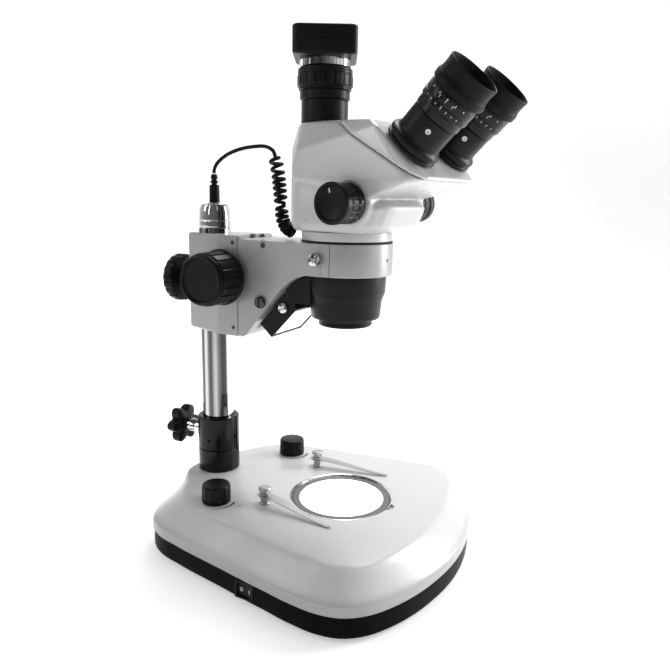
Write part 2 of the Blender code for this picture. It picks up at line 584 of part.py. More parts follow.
def head():
    low = [(x, y, NECK_TOP + 2.5) for x, y in rounded_rect(40, -44, 37, 20, 4)]
    mid = [(x, y, TOP + 262) for x, y in rounded_rect(41.5, -55, 39, 20, 4)]
    shoulder = [(x, y, TOP + 276) for x, y in rounded_rect(41.5, -61, 39, 20, 4)]
    rear = [(x, y, TOP + 325.5) for x in (-1, 1) for x, y in ((x * 39, 24), (x * 27, 39.5))]
    lower = rounded_hull([*low, *mid, *shoulder, *rear], 2.2, 6)
    body = finish("head_body", lower, GREY, HEAD, sharp=24)
    tower = [(x, y, z) for x, y, z in circle(TUBE_R + 0.2, TOWER_TOP - 2, 16, 0, TUBE_Y)]
    rim = [(x * 40.5, 24, TOP + 322) for x in (-1, 1)] + [(x * 27, 39, TOP + 326) for x in (-1, 1)]
    hips = [(x * 42.0, -22, TOP + 301) for x in (-1, 1)] + [(x * 41.0, 28, TOP + 300) for x in (-1, 1)]
    nose = [(x * 44, -55, TOP + 286) for x in (-1, 1)] + [(x * 49, -86, TOP + 297) for x in (-1, 1)]
    nose += [(x * 36, -101, TOP + 300.5) for x in (-1, 1)] + [(x * 46, -90, TOP + 305) for x in (-1, 1)]
    brow = [(x * 46, -57, TOP + 337) for x in (-1, 1)] + [(x * 40, -49, TOP + 342) for x in (-1, 1)]
    lid = [(x * 20, 6, TOWER_TOP - 2) for x in (-1, 1)]
    back = [(x * 27, 39, TOP + 300) for x in (-1, 1)]
    whole = [*tower, *rim, *hips, *nose, *brow, *lid, *back]
    cut(body, cutter("head_upper", rounded_hull(whole, 2.0, 6), HEAD), "UNION")
    cover = finish("prism_cover", rounded_hull(whole, 2.0, 6), WHITE, HEAD, sharp=24)

    # The cover is the part of the upper body in front of the sloping parting plane.
    slope = Vector((0, -43.0, 78.0)).normalized()
    joint = place(0, -12.0, TOP + 344.5, direction=slope, within=HEAD)
    cut(body, cutter("cover_room", box(-80, 80, -150, 150, -GAP, 90), joint))
    cut(cover, cutter("cover_side", box(-80, 80, -150, 150, -140, 0), joint))
    face = place(0, EYE_Y, EYE_Z, direction=(0, -1, 1), within=HEAD)
    cut(cover, cutter("eye_face", box(-80, 80, -80, 80, 0, 60), face))
    cut(body, cutter("eye_face_body", box(-80, 80, -80, 80, 0, 60), face))
    cut(body, cutter("lens_room", turned([(26.0, NECK_TOP - 5), (26.0, TOWER_TOP - 25)], 28), HEAD))
    spigot_room = [(9.0, TOWER_TOP - 31), (9.0, TOWER_TOP - 6.5), (17.5, TOWER_TOP - 6.5), (17.5, TOWER_TOP + 8)]
    cut(body, cutter("tower_bore", turned(spigot_room, 28), place(0, TUBE_Y, 0, within=HEAD)))
    for side, x in (("l", -1), ("r", 1)):
        cut(cover, cutter("eye_pivot_way_" + side, turned([(6.1, -9.0), (6.1, 10)], 20), eye_pivot(x)))
        boss = turned([(19.5, -18), (19.5, 2.2), (18.7, 3.0)], 28)
        cut(body, cutter("zoom_boss_" + side, boss,
                         place(x * 41, ZOOM_Y, ZOOM_Z, direction=(x, 0, 0), within=HEAD)), "UNION")
        cut(body, cutter("zoom_knob_room_" + side, turned([(17.4, 3.3), (17.4, 30)], 28),
                         place(x * 41, ZOOM_Y, ZOOM_Z, direction=(x, 0, 0), within=HEAD)))
    cut(body, cutter("zoom_way", turned([(5.2, -60), (5.2, 60)], 20),
                     place(0, ZOOM_Y, ZOOM_Z, direction=(1, 0, 0), within=HEAD)))
    neck = [(30.0, RING_LOW + 1), (NECK_R, RING_LOW + 1), (NECK_R, RING_HIGH + 1.6), (40.4, RING_HIGH + 1.6),
            (40.4, NECK_TOP), (30.0, NECK_TOP)]
    finish("head_neck", turned(neck, 32, bored=True), GREY, HEAD)


def eye_pivot(x):
    """Pivot axis of one eye tube: 10 mm below the tube's own axis, measured up the sloping face."""
    drop = Vector((0, 1, 1)).normalized() * -10.0
    return place(x * EYE_X, EYE_Y + drop.y, EYE_Z + drop.z, direction=(0, -1, 1), side=(1, 0, 0), within=HEAD)


def eyepieces():
    for side, x in (("l", -1), ("r", 1)):
        pivot = eye_pivot(x)
        # local Y points up the sloping face, so the tube's axis is 10 mm along local Y
        ring = [(7.0, 0.4), (21.5, 0.4), (22.6, 1.6), (22.6, 10.4), (20.0, 12.0), (18.9, 15.8),
                (18.9, 31.4), (15.6, 31.4), (15.6, 3.4), (7.0, 3.4)]
        tube_shape = turned(ring, 24, bored=True)
        bmesh.ops.translate(tube_shape, vec=(0, 10.0, 0), verts=tube_shape.verts)
        made = finish("eye_tube_" + side, tube_shape, ANODISED, pivot)
        cut(made, cutter("eye_pin_" + side, turned([(6.0, -8.0), (6.0, 3.0)], 20), pivot), "UNION")
        axis = place(x * EYE_X, EYE_Y, EYE_Z, direction=(0, -1, 1), side=(1, 0, 0), within=HEAD)
        barrel = [(15.3, 12.0), (15.3, 31.7), (19.6, 31.7), (20.9, 36.0), (20.9, 43.0), (20.7, 52.0),
                  (19.5, 52.6), (19.5, 57.0), (16.4, 57.0), (16.4, 51.0), (12.6, 51.0), (12.6, 12.0)]
        finish("eyepiece_" + side, turned(barrel, 24, bored=True), ANODISED, axis)
        cup = [(19.8, 52.9), (22.3, 52.9), (22.1, 59.0), (21.1, 64.0), (21.1, 71.6), (19.4, 69.0),
               (17.2, 57.3), (19.8, 57.3)]
        finish("eyecup_" + side, turned(cup, 24, bored=True), RUBBER, axis)
        lens = [(16.1, 51.3), (16.1, 54.6), (12.0, 56.2), (6.0, 56.9)]
        finish("eye_lens_" + side, turned(lens, 20), GLASS, axis)


def optics():
    barrel = [(29.7, NECK_TOP - 6), (29.7, RING_LOW + 0.7), (36.4, RING_LOW + 0.7), (36.4, TOP + 214.0),
              (35.8, TOP + 200.0), (32.8, TOP + 192.0), (31.6, TOP + 178.0), (24.6, TOP + 176.2),
              (24.6, TOP + 171.0), (23.4, TOP + 169.6), (20.4, TOP + 169.6), (20.4, TOP + 176.0),
              (26.0, TOP + 190.0), (26.0, NECK_TOP - 6)]
    finish("objective", turned(barrel, 26, bored=True), ANODISED, HEAD)
    lens = [(19.0, TOP + 171.6), (20.0, TOP + 172.2), (20.0, TOP + 175.4), (12.0, TOP + 176.6)]
    finish("objective_lens", turned(lens, 28), GLASS, HEAD)


def zoom():
    across = place(0, ZOOM_Y, ZOOM_Z, direction=(1, 0, 0), side=(0, 0, 1), within=HEAD)
    finish("zoom_shaft", turned([(5.0, -52), (5.0, 52)], 20), STEEL, across)
    for side, x in (("l", -1), ("r", 1)):
        outward = place(0, ZOOM_Y, ZOOM_Z, direction=(x, 0, 0), side=(0, 0, 1), within=HEAD)
        bore = [circle(r, z, 40) for r, z in ((5.3, 52.3), (5.3, 44.6))]
        grip = [[(px, py, z) for px, py in ribbed(r, d, 10, 0.55)]
                for r, d, z in ((15.6, 0.05, 44.6), (16.3, 0.7, 46.0), (16.0, 0.7, 60.5), (15.6, 0.05, 61.5),
                                (16.6, 0.05, 63.0), (16.6, 0.05, 68.6), (15.6, 0.05, 70.0))]
        dish = [circle(r, z, 40) for r, z in ((13.4, 70.0), (12.0, 68.0))]
        finish("zoom_knob_" + side, loft([*bore, *grip, *dish]), BLACK, outward)


def camera():
    axis = place(0, TUBE_Y, 0, within=HEAD)
    port = [(17.2, TOWER_TOP - 6), (17.2, TOWER_TOP + GAP), (TUBE_R, TOWER_TOP + GAP),
            (TUBE_R, TOP + 366.4), (15.0, TOP + 366.4), (15.0, TOWER_TOP - 6)]
    finish("photo_tube", turned(port, 28, bored=True), ANODISED, axis)
    sleeve = [circle(r, z, 40) for r, z in ((15.4, TOP + 366.7), (20.6, TOP + 366.7), (22.0, TOP + 367.6),
                                            (22.0, TOP + 374.0))]
    grip = [[(px, py, z) for px, py in ribbed(r, d, 10, 0.6)]
            for r, d, z in ((23.2, 0.05, TOP + 374.8), (24.4, 0.9, TOP + 378.2), (24.4, 0.9, TOP + 387.2),
                            (24.0, 0.05, TOP + 388.0))]
    neck = [circle(r, z, 40) for r, z in ((23.6, TOP + 393.2), (15.4, TOP + 393.2))]
    finish("camera_adapter", loft([*sleeve, *grip, *neck], closed=True), ANODISED, axis)
    turned_axis = axis @ Matrix.Rotation(math.radians(CAMERA_YAW), 4, "Z")
    side = 27.5
    outline = rounded_rect(side, -side, side, 5.0, 3)
    levels = [(0.95, 401.0), (1.0, 402.4), (1.0, 413.2), (0.975, 413.5), (0.975, 414.1), (1.0, 414.4),
              (1.0, 422.4), (0.97, 424.3), (0.85, 425.4), (0.5, 426.3)]
    case = finish("camera_body", loft([scaled(outline, f, TOP + z) for f, z in levels]), BLACK, turned_axis)
    flange = [(13.0, TOP + 388.0), (13.0, TOP + 393.5), (22.4, TOP + 393.5), (22.4, TOP + 404.0)]
    cut(case, cutter("camera_flange", turned(flange, 28), turned_axis), "UNION")


base()
stage()
dimmers()
power()
clips()
post()
focus_block()
arm()
lamp()
cord()
head()
eyepieces()
optics()
zoom()
camera()
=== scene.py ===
"""Looks of the stereo zoom microscope: camera, studio, procedural materials and detailed pieces.

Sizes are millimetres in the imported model's own frame; MM turns them into metres.  +Z is up, the
user sits on the -Y side and the optical axis is x = y = 0.  The head is turned by HEAD_YAW.
"""
import math

import bmesh
import bpy
from mathutils import Matrix, Vector


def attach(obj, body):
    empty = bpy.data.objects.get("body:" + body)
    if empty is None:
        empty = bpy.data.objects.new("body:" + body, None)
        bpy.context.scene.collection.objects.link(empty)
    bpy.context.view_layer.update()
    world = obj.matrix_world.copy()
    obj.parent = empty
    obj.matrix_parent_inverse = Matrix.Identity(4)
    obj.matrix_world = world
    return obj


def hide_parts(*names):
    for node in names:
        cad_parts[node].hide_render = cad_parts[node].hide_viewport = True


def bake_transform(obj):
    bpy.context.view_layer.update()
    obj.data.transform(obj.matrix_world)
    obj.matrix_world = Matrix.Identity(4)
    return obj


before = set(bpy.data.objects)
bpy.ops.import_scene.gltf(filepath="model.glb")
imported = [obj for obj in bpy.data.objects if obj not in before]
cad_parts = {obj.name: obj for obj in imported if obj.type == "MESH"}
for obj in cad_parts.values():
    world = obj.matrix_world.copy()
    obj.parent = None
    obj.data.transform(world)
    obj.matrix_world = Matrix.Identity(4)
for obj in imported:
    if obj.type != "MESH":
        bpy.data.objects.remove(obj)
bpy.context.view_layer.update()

MM = 0.001
TOP = 48.0
SEAM = 18.0
POST_Y = 147.0
CAP_TOP = TOP + 275.4
RING_LOW, RING_HIGH = TOP + 216.7, TOP + 245.2
NECK_TOP = TOP + 254.5
HEAD_YAW = -9.0
TUBE_Y = 27.3
TOWER_TOP = TOP + 347.5
ZOOM_Y, ZOOM_Z = -33.0, TOP + 279.0
EYE_X, EYE_Y, EYE_Z = 30.0, -78.6, TOP + 321.7


# --- Camera ---

def add_object(name, data):
    made = bpy.data.objects.new(name, data)
    bpy.context.scene.collection.objects.link(made)
    return made


def add_camera():
    """A 35 mm lens on the left of the user's seat, looking a little down, with a slight roll."""
    pitch, roll = math.radians(11.84), math.radians(1.09)
    right = Vector((0.4591, -0.8884, 0.0)).normalized()
    back = Vector((-0.8884, -0.4591, 0.0)).normalized()
    up = Vector((0, 0, 1))
    ahead = -back * math.cos(pitch) - up * math.sin(pitch)
    above = up * math.cos(pitch) - back * math.sin(pitch)
    cam_x = right * math.cos(roll) + above * math.sin(roll)
    cam_y = above * math.cos(roll) - right * math.sin(roll)
    data = bpy.data.cameras.new("camera")
    data.sensor_width = 36.0
    data.lens = 34.98
    data.clip_start = 0.01
    made = add_object("camera", data)
    rotation = Matrix((cam_x, cam_y, -ahead)).transposed().to_4x4()
    made.matrix_world = Matrix.Translation(Vector((-527.25, -262.18, TOP + 282.82)) * MM) @ rotation
    bpy.context.scene.camera = made


add_camera()


# --- Materials ---

def feed(tree, target, inputs):
    """Give a node's inputs, by name or number, a value or a link from a socket."""
    for key, value in inputs.items():
        if isinstance(value, bpy.types.NodeSocket):
            tree.links.new(value, target.inputs[key])
        else:
            target.inputs[key].default_value = value


def node(tree, kind, inputs, **settings):
    """A new shader node with its settings made and its inputs fed."""
    made = tree.nodes.new("ShaderNode" + kind)
    for key, value in settings.items():
        setattr(made, key, value)
    feed(tree, made, inputs)
    return made


def surface(name, colour, rough, metal=0.0, grain=900.0, bump=0.05, vary=0.06, rough_vary=0.08,
            coat=0.0, brushed=(1.0, 1.0, 1.0), glow=0.0, mottle=60.0, shine=0.5, bands=None, painted_shade=None):
    """A Principled material whose colour, roughness and bump come from procedural noise, its colour also carrying
    painted light where asked.

    grain and mottle are noise scales per metre; brushed stretches the grain along an axis. bands adds painted
    reflections as dark strips round Z, and the (low, high, left) triple adds painted shade that darkens the colour
    towards the bottom.
    """
    made = bpy.data.materials.new(name)
    made.use_nodes = True
    tree = made.node_tree
    at = node(tree, "TexCoord", {}).outputs["Object"]
    stretched = node(tree, "Mapping", {"Vector": at, "Scale": brushed}).outputs["Vector"]
    fine = node(tree, "TexNoise", {"Vector": stretched, "Scale": grain, "Detail": 3.0}).outputs["Fac"]
    broad = node(tree, "TexNoise", {"Vector": at, "Scale": mottle, "Detail": 5.0}).outputs["Fac"]
    dark = (*[max(0.0, c * (1 - vary)) for c in colour], 1.0)
    light = (*[min(1.0, c * (1 + vary) + vary * 0.01) for c in colour], 1.0)
    last = node(tree, "Mix", {"Factor": broad, "A": dark, "B": light}, data_type="RGBA").outputs["Result"]
    # painted reflections: bands darken the colour in strips round Z
    if bands:
        last = paint_reflection_strips(tree, at, last, bands)
    # painted shade: the colour darkens towards the bottom
    if painted_shade:
        last = paint_shade_low(tree, at, last, *painted_shade)
    wear = node(tree, "MapRange", {"Value": broad, "To Min": max(0.02, rough - rough_vary),
                                   "To Max": min(1.0, rough + rough_vary)})
    relief = node(tree, "Bump", {"Height": fine, "Strength": bump, "Distance": 0.0002})
    shader = tree.nodes["Principled BSDF"]
    feed(tree, shader, {"Base Color": last, "Metallic": metal, "Specular IOR Level": shine,
                        "Coat Weight": coat, "Coat Roughness": 0.12,
                        "Roughness": wear.outputs["Result"], "Normal": relief.outputs["Normal"]})
    if glow:
        feed(tree, shader, {"Emission Color": (1.0, 1.0, 0.985, 1.0), "Emission Strength": glow})
    return made


def band_ramp(tree, vector, bands):
    """Grey levels round Z, from (share of a turn from -X through -Y, value) pairs."""
    split = node(tree, "SeparateXYZ", {"Vector": vector})
    angle = node(tree, "Math", {0: split.outputs["Y"], 1: split.outputs["X"]}, operation="ARCTAN2")
    share = node(tree, "MapRange", {"Value": angle.outputs["Value"], "From Min": -math.pi,
                                    "From Max": math.pi})
    ramp = node(tree, "ValToRGB", {"Fac": share.outputs["Result"]})
    stops = ramp.color_ramp.elements
    stops[0].position = bands[0][0]
    stops[1].position = bands[-1][0]
    for position, _ in bands[1:-1]:
        stops.new(position)
    for stop, (_, value) in zip(stops, bands):
        stop.color = (value, value, value, 1.0)
    return ramp.outputs["Color"]


def paint_reflection_strips(tree, at, colour, bands):
    """Painted reflections: colour darkened in soft strips round the object's own Z axis."""
    reflection_strips = band_ramp(tree, at, bands)
    return node(tree, "Mix", {"Factor": 1.0, "A": colour, "B": reflection_strips}, data_type="RGBA",
                blend_type="MULTIPLY").outputs["Result"]


def paint_shade_low(tree, at, colour, low, high, left):
    """Painted shade: colour that darkens softly from height high down to low, where the share left remains."""
    split = node(tree, "SeparateXYZ", {"Vector": at})
    share = node(tree, "MapRange", {"Value": split.outputs["Z"], "From Min": low, "From Max": high,
                                    "To Min": left}, interpolation_type="SMOOTHSTEP")
    return node(tree, "Mix", {"Factor": share.outputs["Result"], "A": (0.0, 0.0, 0.0, 1.0), "B": colour},
                data_type="RGBA").outputs["Result"]


# painted reflections on the post: grey levels round its axis stand in for the studio mirrored in the chrome
POST_PAINTED_REFLECTIONS = [(0.0, 0.35), (0.02, 0.12), (0.045, 0.10), (0.06, 0.35), (0.085, 0.55), (0.115, 0.2),
              (0.15, 0.06), (0.195, 0.08), (0.21, 0.75), (0.33, 0.9), (0.35, 0.15), (0.42, 0.10),
              (0.45, 0.9), (0.60, 0.95), (0.63, 0.12), (0.70, 0.10), (0.73, 0.9), (0.86, 0.9),
              (0.88, 0.10), (0.95, 0.12), (0.97, 0.8), (1.0, 0.55)]
# shell enamel with painted shade: its colour darkens below 33 mm height to 62 % at 24 mm, standing in for shade on
# the skirt
SHELL_WHITE = surface("shell_enamel", (0.60, 0.60, 0.597), 0.33, grain=1400, bump=0.07, vary=0.02,
                      coat=0.2, painted_shade=(0.024, 0.033, 0.62))
CAST_GREY = surface("casting_enamel", (0.33, 0.333, 0.337), 0.36, 0.25, grain=2600, bump=0.12,
                    vary=0.03, coat=0.2)
HEAD_GREY = surface("head_enamel", (0.47, 0.473, 0.477), 0.3, 0.1, grain=2600, bump=0.05, vary=0.02,
                    coat=0.15)
COVER_WHITE = surface("cover_enamel", (0.52, 0.523, 0.525), 0.28, 0.1, grain=2600, bump=0.04,
                      vary=0.015, coat=0.2)
TRAY_BLACK = surface("tray_plastic", (0.0015, 0.0015, 0.0016), 0.4, grain=1500, bump=0.15, vary=0.3,
                     shine=0.03)
KNOB_BLACK = surface("knob_plastic", (0.002, 0.002, 0.0022), 0.33, grain=1800, bump=0.06, vary=0.3,
                     shine=0.16)
ANODISED = surface("anodised_black", (0.003, 0.003, 0.0033), 0.24, 0.0, grain=2400, bump=0.06,
                   vary=0.25, shine=0.22)
SATIN_BLACK = surface("satin_black", (0.005, 0.005, 0.0053), 0.36, 0.0, grain=3000, bump=0.10,
                      vary=0.2, shine=0.16)
RUBBER = surface("soft_rubber", (0.003, 0.003, 0.003), 0.45, grain=1300, bump=0.22, vary=0.25, shine=0.12)
# chrome with painted reflections: dark strips round each piece's Z axis stand in for mirrored surroundings
CHROME = surface("chrome_plate", (0.80, 0.80, 0.81), 0.07, 1.0, grain=500, bump=0.004, vary=0.01,
                 rough_vary=0.02,
                 bands=[(0.0, 0.9), (0.10, 0.8), (0.14, 0.12), (0.22, 0.2), (0.27, 0.95), (0.42, 0.9),
                        (0.47, 0.15), (0.52, 0.25), (0.58, 0.95), (0.72, 0.85), (0.76, 0.15), (0.84, 0.3),
                        (0.89, 0.95), (1.0, 0.9)])
POST_CHROME = surface("post_chrome", (0.85, 0.85, 0.86), 0.05, 1.0, grain=500, bump=0.003, vary=0.01,
                      rough_vary=0.015, bands=POST_PAINTED_REFLECTIONS)
STEEL = surface("satin_steel", (0.42, 0.425, 0.43), 0.3, 1.0, grain=2500, bump=0.12, vary=0.06,
                brushed=(8.0, 0.4, 1.0))
DARK_STEEL = surface("blued_steel", (0.07, 0.07, 0.073), 0.3, 0.9, grain=2500, bump=0.1, vary=0.15)
BRASS = surface("machined_brass", (0.62, 0.45, 0.2), 0.3, 1.0, grain=2200, bump=0.08, vary=0.08)
LENS = surface("coated_glass", (0.03, 0.028, 0.045), 0.05, 0.0, grain=300, bump=0.0, vary=0.1,
               rough_vary=0.01, coat=1.0)
OPAL_LIT = surface("lit_opal", (0.95, 0.95, 0.94), 0.45, grain=900, bump=0.02, vary=0.01, glow=1.6)
STAGE_RIM = surface("stage_rim", (0.14, 0.14, 0.143), 0.4, 0.35, grain=2000, bump=0.06, vary=0.08)
BOARD = surface("circuit_board", (0.02, 0.09, 0.04), 0.5, grain=900, bump=0.2, vary=0.3)
INK = surface("printed_ink", (0.02, 0.02, 0.02), 0.6, grain=2000, bump=0.02, vary=0.2)
MARK_WHITE = surface("engraved_white", (0.75, 0.75, 0.74), 0.6, grain=2000, bump=0.02, vary=0.05)


# --- Mesh helpers ---

def place(x=0.0, y=0.0, z=0.0, direction=(0, 0, 1), side=(1, 0, 0), within=None):
    """A frame at (x, y, z) mm whose local Z runs along direction and local X near side."""
    up = Vector(direction).normalized()
    right = Vector(side)
    if abs(up.dot(right)) > 0.99 * right.length:
        right = Vector((0, 0, 1))
    right = (right - up * right.dot(up)).normalized()
    turned_frame = Matrix((right, up.cross(right), up)).transposed().to_4x4()
    made = Matrix.Translation(Vector((x, y, z)) * MM) @ turned_frame
    return within @ made if within is not None else made


def spin(degrees):
    return Matrix.Rotation(math.radians(degrees), 4, "Z")


HEAD = spin(HEAD_YAW)


def to_object(name, shape):
    """An object in metres from a bmesh in millimetres, its normals turned outward."""
    bmesh.ops.scale(shape, vec=(MM, MM, MM), verts=shape.verts)
    bmesh.ops.recalc_face_normals(shape, faces=shape.faces)
    mesh = bpy.data.meshes.new(name)
    shape.to_mesh(mesh)
    shape.free()
    return add_object(name, mesh)


def piece(name, shape, look, body, at=None, stands_for=(), sharp=32.0, cuts=()):
    """Turn a bmesh in millimetres into a piece that rides on a body and may replace CAD nodes."""
    made = to_object(name, shape)
    if at is not None:
        made.matrix_world = at
    made.data.materials.append(look)
    if cuts:
        bake_cuts(made, cuts)
    made.data.shade_smooth()
    made.data.set_sharp_from_angle(angle=math.radians(sharp))
    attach(made, body)
    if stands_for:
        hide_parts(*stands_for)
    return made


def bake_cuts(target, cuts):
    """Subtract the given (bmesh, frame) tools from target and keep the result as its mesh."""
    tools = []
    for shape, at in cuts:
        tool = to_object("tool", shape)
        if at is not None:
            tool.matrix_world = at
        modifier = target.modifiers.new("cut", "BOOLEAN")
        modifier.operation = "DIFFERENCE"
        modifier.solver = "EXACT"
        modifier.object = tool
        tools.append(tool)
    keep_result(target)
    for tool in tools:
        bpy.data.objects.remove(tool, do_unlink=True)


def keep_result(target):
    """Replace target's mesh by what its modifiers make of it."""
    bpy.context.view_layer.update()
    graph = bpy.context.evaluated_depsgraph_get()
    result = bpy.data.meshes.new_from_object(target.evaluated_get(graph))
    result.name = target.name
    target.modifiers.clear()
    target.data = result


def wall(shape, low, high):
    """Quads between two closed loops of vertices."""
    for i in range(len(low)):
        j = (i + 1) % len(low)
        shape.faces.new((low[i], low[j], high[j], high[i]))


def prism(shape, low, high):
    """Add a closed solid between two loops of points."""
    rows = [[shape.verts.new(point) for point in loop] for loop in (low, high)]
    wall(shape, *rows)
    for row in rows:
        shape.faces.new(row)


def loft(rings, closed=False):
    """A skin over rings of points, capped at both ends or joined end to end."""
    shape = bmesh.new()
    rows = [[shape.verts.new(point) for point in ring] for ring in rings]
    pairs = list(zip(rows, rows[1:]))
    if closed:
        pairs.append((rows[-1], rows[0]))
    for lower, upper in pairs:
        wall(shape, lower, upper)
    if not closed:
        shape.faces.new(rows[0])
        shape.faces.new(rows[-1])
    return shape


def circle(radius, z, steps):
    turns = [2 * math.pi * i / steps for i in range(steps)]
    return [(radius * math.cos(a), radius * math.sin(a), z) for a in turns]


def circles(profile, steps):
    return [circle(r, z, steps) for r, z in profile]


def raised(height, profile):
    """The same profile with height added to the last number of each point."""
    return [(*point[:-1], height + point[-1]) for point in profile]


def drill(radius, z0, z1, steps=32):
    """A plain round cutting tool."""
    return lathe([(radius, z0), (radius, z1)], steps, ease=0.0)


def rounded(profile, radius=0.4, steps=3, closed=False):
    """The same (radius, z) profile with its corners rounded off."""
    count = len(profile)
    made = []
    for i, (r, z) in enumerate(profile):
        if not closed and i in (0, count - 1):
            made.append((r, z))
            continue
        here = Vector((r, z))
        before = Vector(profile[i - 1]) - here
        after = Vector(profile[(i + 1) % count]) - here
        reach = min(radius, before.length * 0.45, after.length * 0.45)
        if reach < 0.02:
            made.append((r, z))
            continue
        a = here + before.normalized() * reach
        b = here + after.normalized() * reach
        for k in range(steps + 1):
            t = k / steps
            point = a * (1 - t) ** 2 + here * 2 * t * (1 - t) + b * t * t
            made.append((point.x, point.y))
    return made


def lathe(profile, steps=96, bored=False, ease=0.4):
    """Revolve a (radius, z) profile about Z; a bored profile is a closed loop round a hole."""
    return loft(circles(rounded(profile, ease, 3, bored), steps), closed=bored)


def hollow(profile, steps, ease):
    return lathe(profile, steps, bored=True, ease=ease)


def grip(rings, ribs, duty=0.62, per_rib=12):
    """Rings of (radius, groove depth, z) round a knob whose grip has flat ribs."""
    made = []
    count = ribs * per_rib
    for radius, depth, z in rings:
        ring = []
        for i in range(count):
            phase = (i / per_rib) % 1.0
            edge = 0.12
            if phase < duty:
                down = 0.0
            elif phase < duty + edge:
                down = (phase - duty) / edge
            elif phase < 1 - edge:
                down = 1.0
            else:
                down = (1 - phase) / edge
            down = down * down * (3 - 2 * down)
            a = 2 * math.pi * i / count
            r = radius - depth * down
            ring.append((r * math.cos(a), r * math.sin(a), z))
        made.append(ring)
    return made


def box(x0, x1, y0, y1, z0, z1):
    corners = [(x0, y0), (x1, y0), (x1, y1), (x0, y1)]
    return loft([[(x, y, z) for x, y in corners] for z in (z0, z1)])


def rounded_rect(half_x, y0, y1, corner, steps=6):
    centres = [(half_x - corner, y1 - corner, 0), (-half_x + corner, y1 - corner, 90),
               (-half_x + corner, y0 + corner, 180), (half_x - corner, y0 + corner, 270)]
    points = []
    for cx, cy, start in centres:
        for i in range(steps + 1):
            a = math.radians(start + 90 * i / steps)
            points.append((cx + corner * math.cos(a), cy + corner * math.sin(a)))
    return points


def catmull(points, count):
    """count + 1 points on a Catmull-Rom curve through tuples of any length."""
    ends = [points[0], *points, points[-1]]
    made = []
    for k in range(count + 1):
        t = k * (len(points) - 1) / count
        i = min(int(t), len(points) - 2)
        t -= i
        p0, p1, p2, p3 = ends[i:i + 4]
        made.append(tuple(0.5 * (2 * b + (c - a) * t + (2 * a - 5 * b + 4 * c - d) * t * t
                                 + (3 * b - a - 3 * c + d) * t**3) for a, b, c, d in zip(p0, p1, p2, p3)))
    return made


def sweep(path, radius, steps=10):
    """A round tube along a path of points in millimetres."""
    points = [Vector(p) for p in path]
    normal = Vector((1, 0, 0))
    rings = []
    for i, point in enumerate(points):
        ahead = (points[min(i + 1, len(points) - 1)] - points[max(i - 1, 0)]).normalized()
        normal = (normal - ahead * normal.dot(ahead)).normalized()
        other = ahead.cross(normal)
        rings.append([point + (normal * math.cos(a) + other * math.sin(a)) * radius
                      for a in (2 * math.pi * k / steps for k in range(steps))])
    return loft(rings)


def cross_cut(half_length, half_width, z0, z1, at):
    """Two crossed slot tools for a screw head's recess."""
    spans = ((half_length, half_width), (half_width, half_length))
    return [(box(-x, x, -y, y, z0, z1), at) for x, y in spans]


def cross_screw(name, at, body, radius, height):
    """A domed screw head with a cross recess, its foot on the frame's plane."""
    dome = [(radius * 0.9, 0.0), (radius, height * 0.25), (radius, height * 0.55),
            (radius * 0.86, height * 0.85), (radius * 0.55, height), (radius * 0.2, height * 1.03)]
    arms = cross_cut(radius * 0.62, 0.45, height * 0.55, height * 2, at)
    return piece(name, lathe(dome, 32, ease=0.3), CHROME, body, at, cuts=arms)


def socket_screw(name, at, body, radius, height, look):
    """A small cylinder-head screw with a hexagon socket."""
    head = [(radius, 0.0), (radius, height), (radius * 0.6, height)]
    tool = loft([circle(radius * 0.55, z, 6) for z in (height * 0.3, height * 2)])
    return piece(name, lathe(head, 24, ease=0.15), look, body, at, cuts=[(tool, at)])


SIDES = (("l", "left", -1), ("r", "right", 1))


# --- Cord ---

LEAD = [(147.0, 304.6), (146.6, 308.6), (143.6, 313.6), (138.0, 318.2), (128.0, 323.5), (113.0, 327.6),
        (97.0, 329.3), (86.0, 328.8), (78.5, 325.0), (76.0, 319.2)]
CORD_RADIUS = 1.75
COIL = [(76.0, 318.9), (72.6, 303.0), (71.0, 290.0), (69.6, 276.0), (68.2, 264.5), (64.4, 256.5),
        (60.6, 253.6), (56.6, 252.0)]


def coil_path(start, end, turns):
    """A helix round the part of the coil's centre line between two shares of its length."""
    radius, per_turn, last = 5.0, 18, 160
    centre = [Vector((0.0, y, TOP + z)) for y, z in catmull(COIL, last)]
    count = int(turns * per_turn)
    path = []
    for k in range(count + 1):
        t = start + (end - start) * k / count
        s = t * last
        i = min(int(s), last - 1)
        point = centre[i].lerp(centre[i + 1], s - i)
        ahead = (centre[min(i + 2, last)] - centre[max(i - 1, 0)]).normalized()
        side = Vector((1, 0, 0))
        other = ahead.cross(side)
        ease = min(1.0, 6.0 * min(t - start + 0.02, end - t + 0.02) / (end - start) + 0.25)
        a = 2 * math.pi * turns * k / count
        path.append(point + (side * math.cos(a) + other * math.sin(a)) * radius * ease)
    return path


def curve_mesh(name, path, node_name):
    """A cord's tube with no parent, ready to be blended across a joint."""
    made = to_object(name, sweep(path, CORD_RADIUS))
    made.data.materials.append(RUBBER)
    made.data.shade_smooth()
    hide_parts(node_name)
    return made


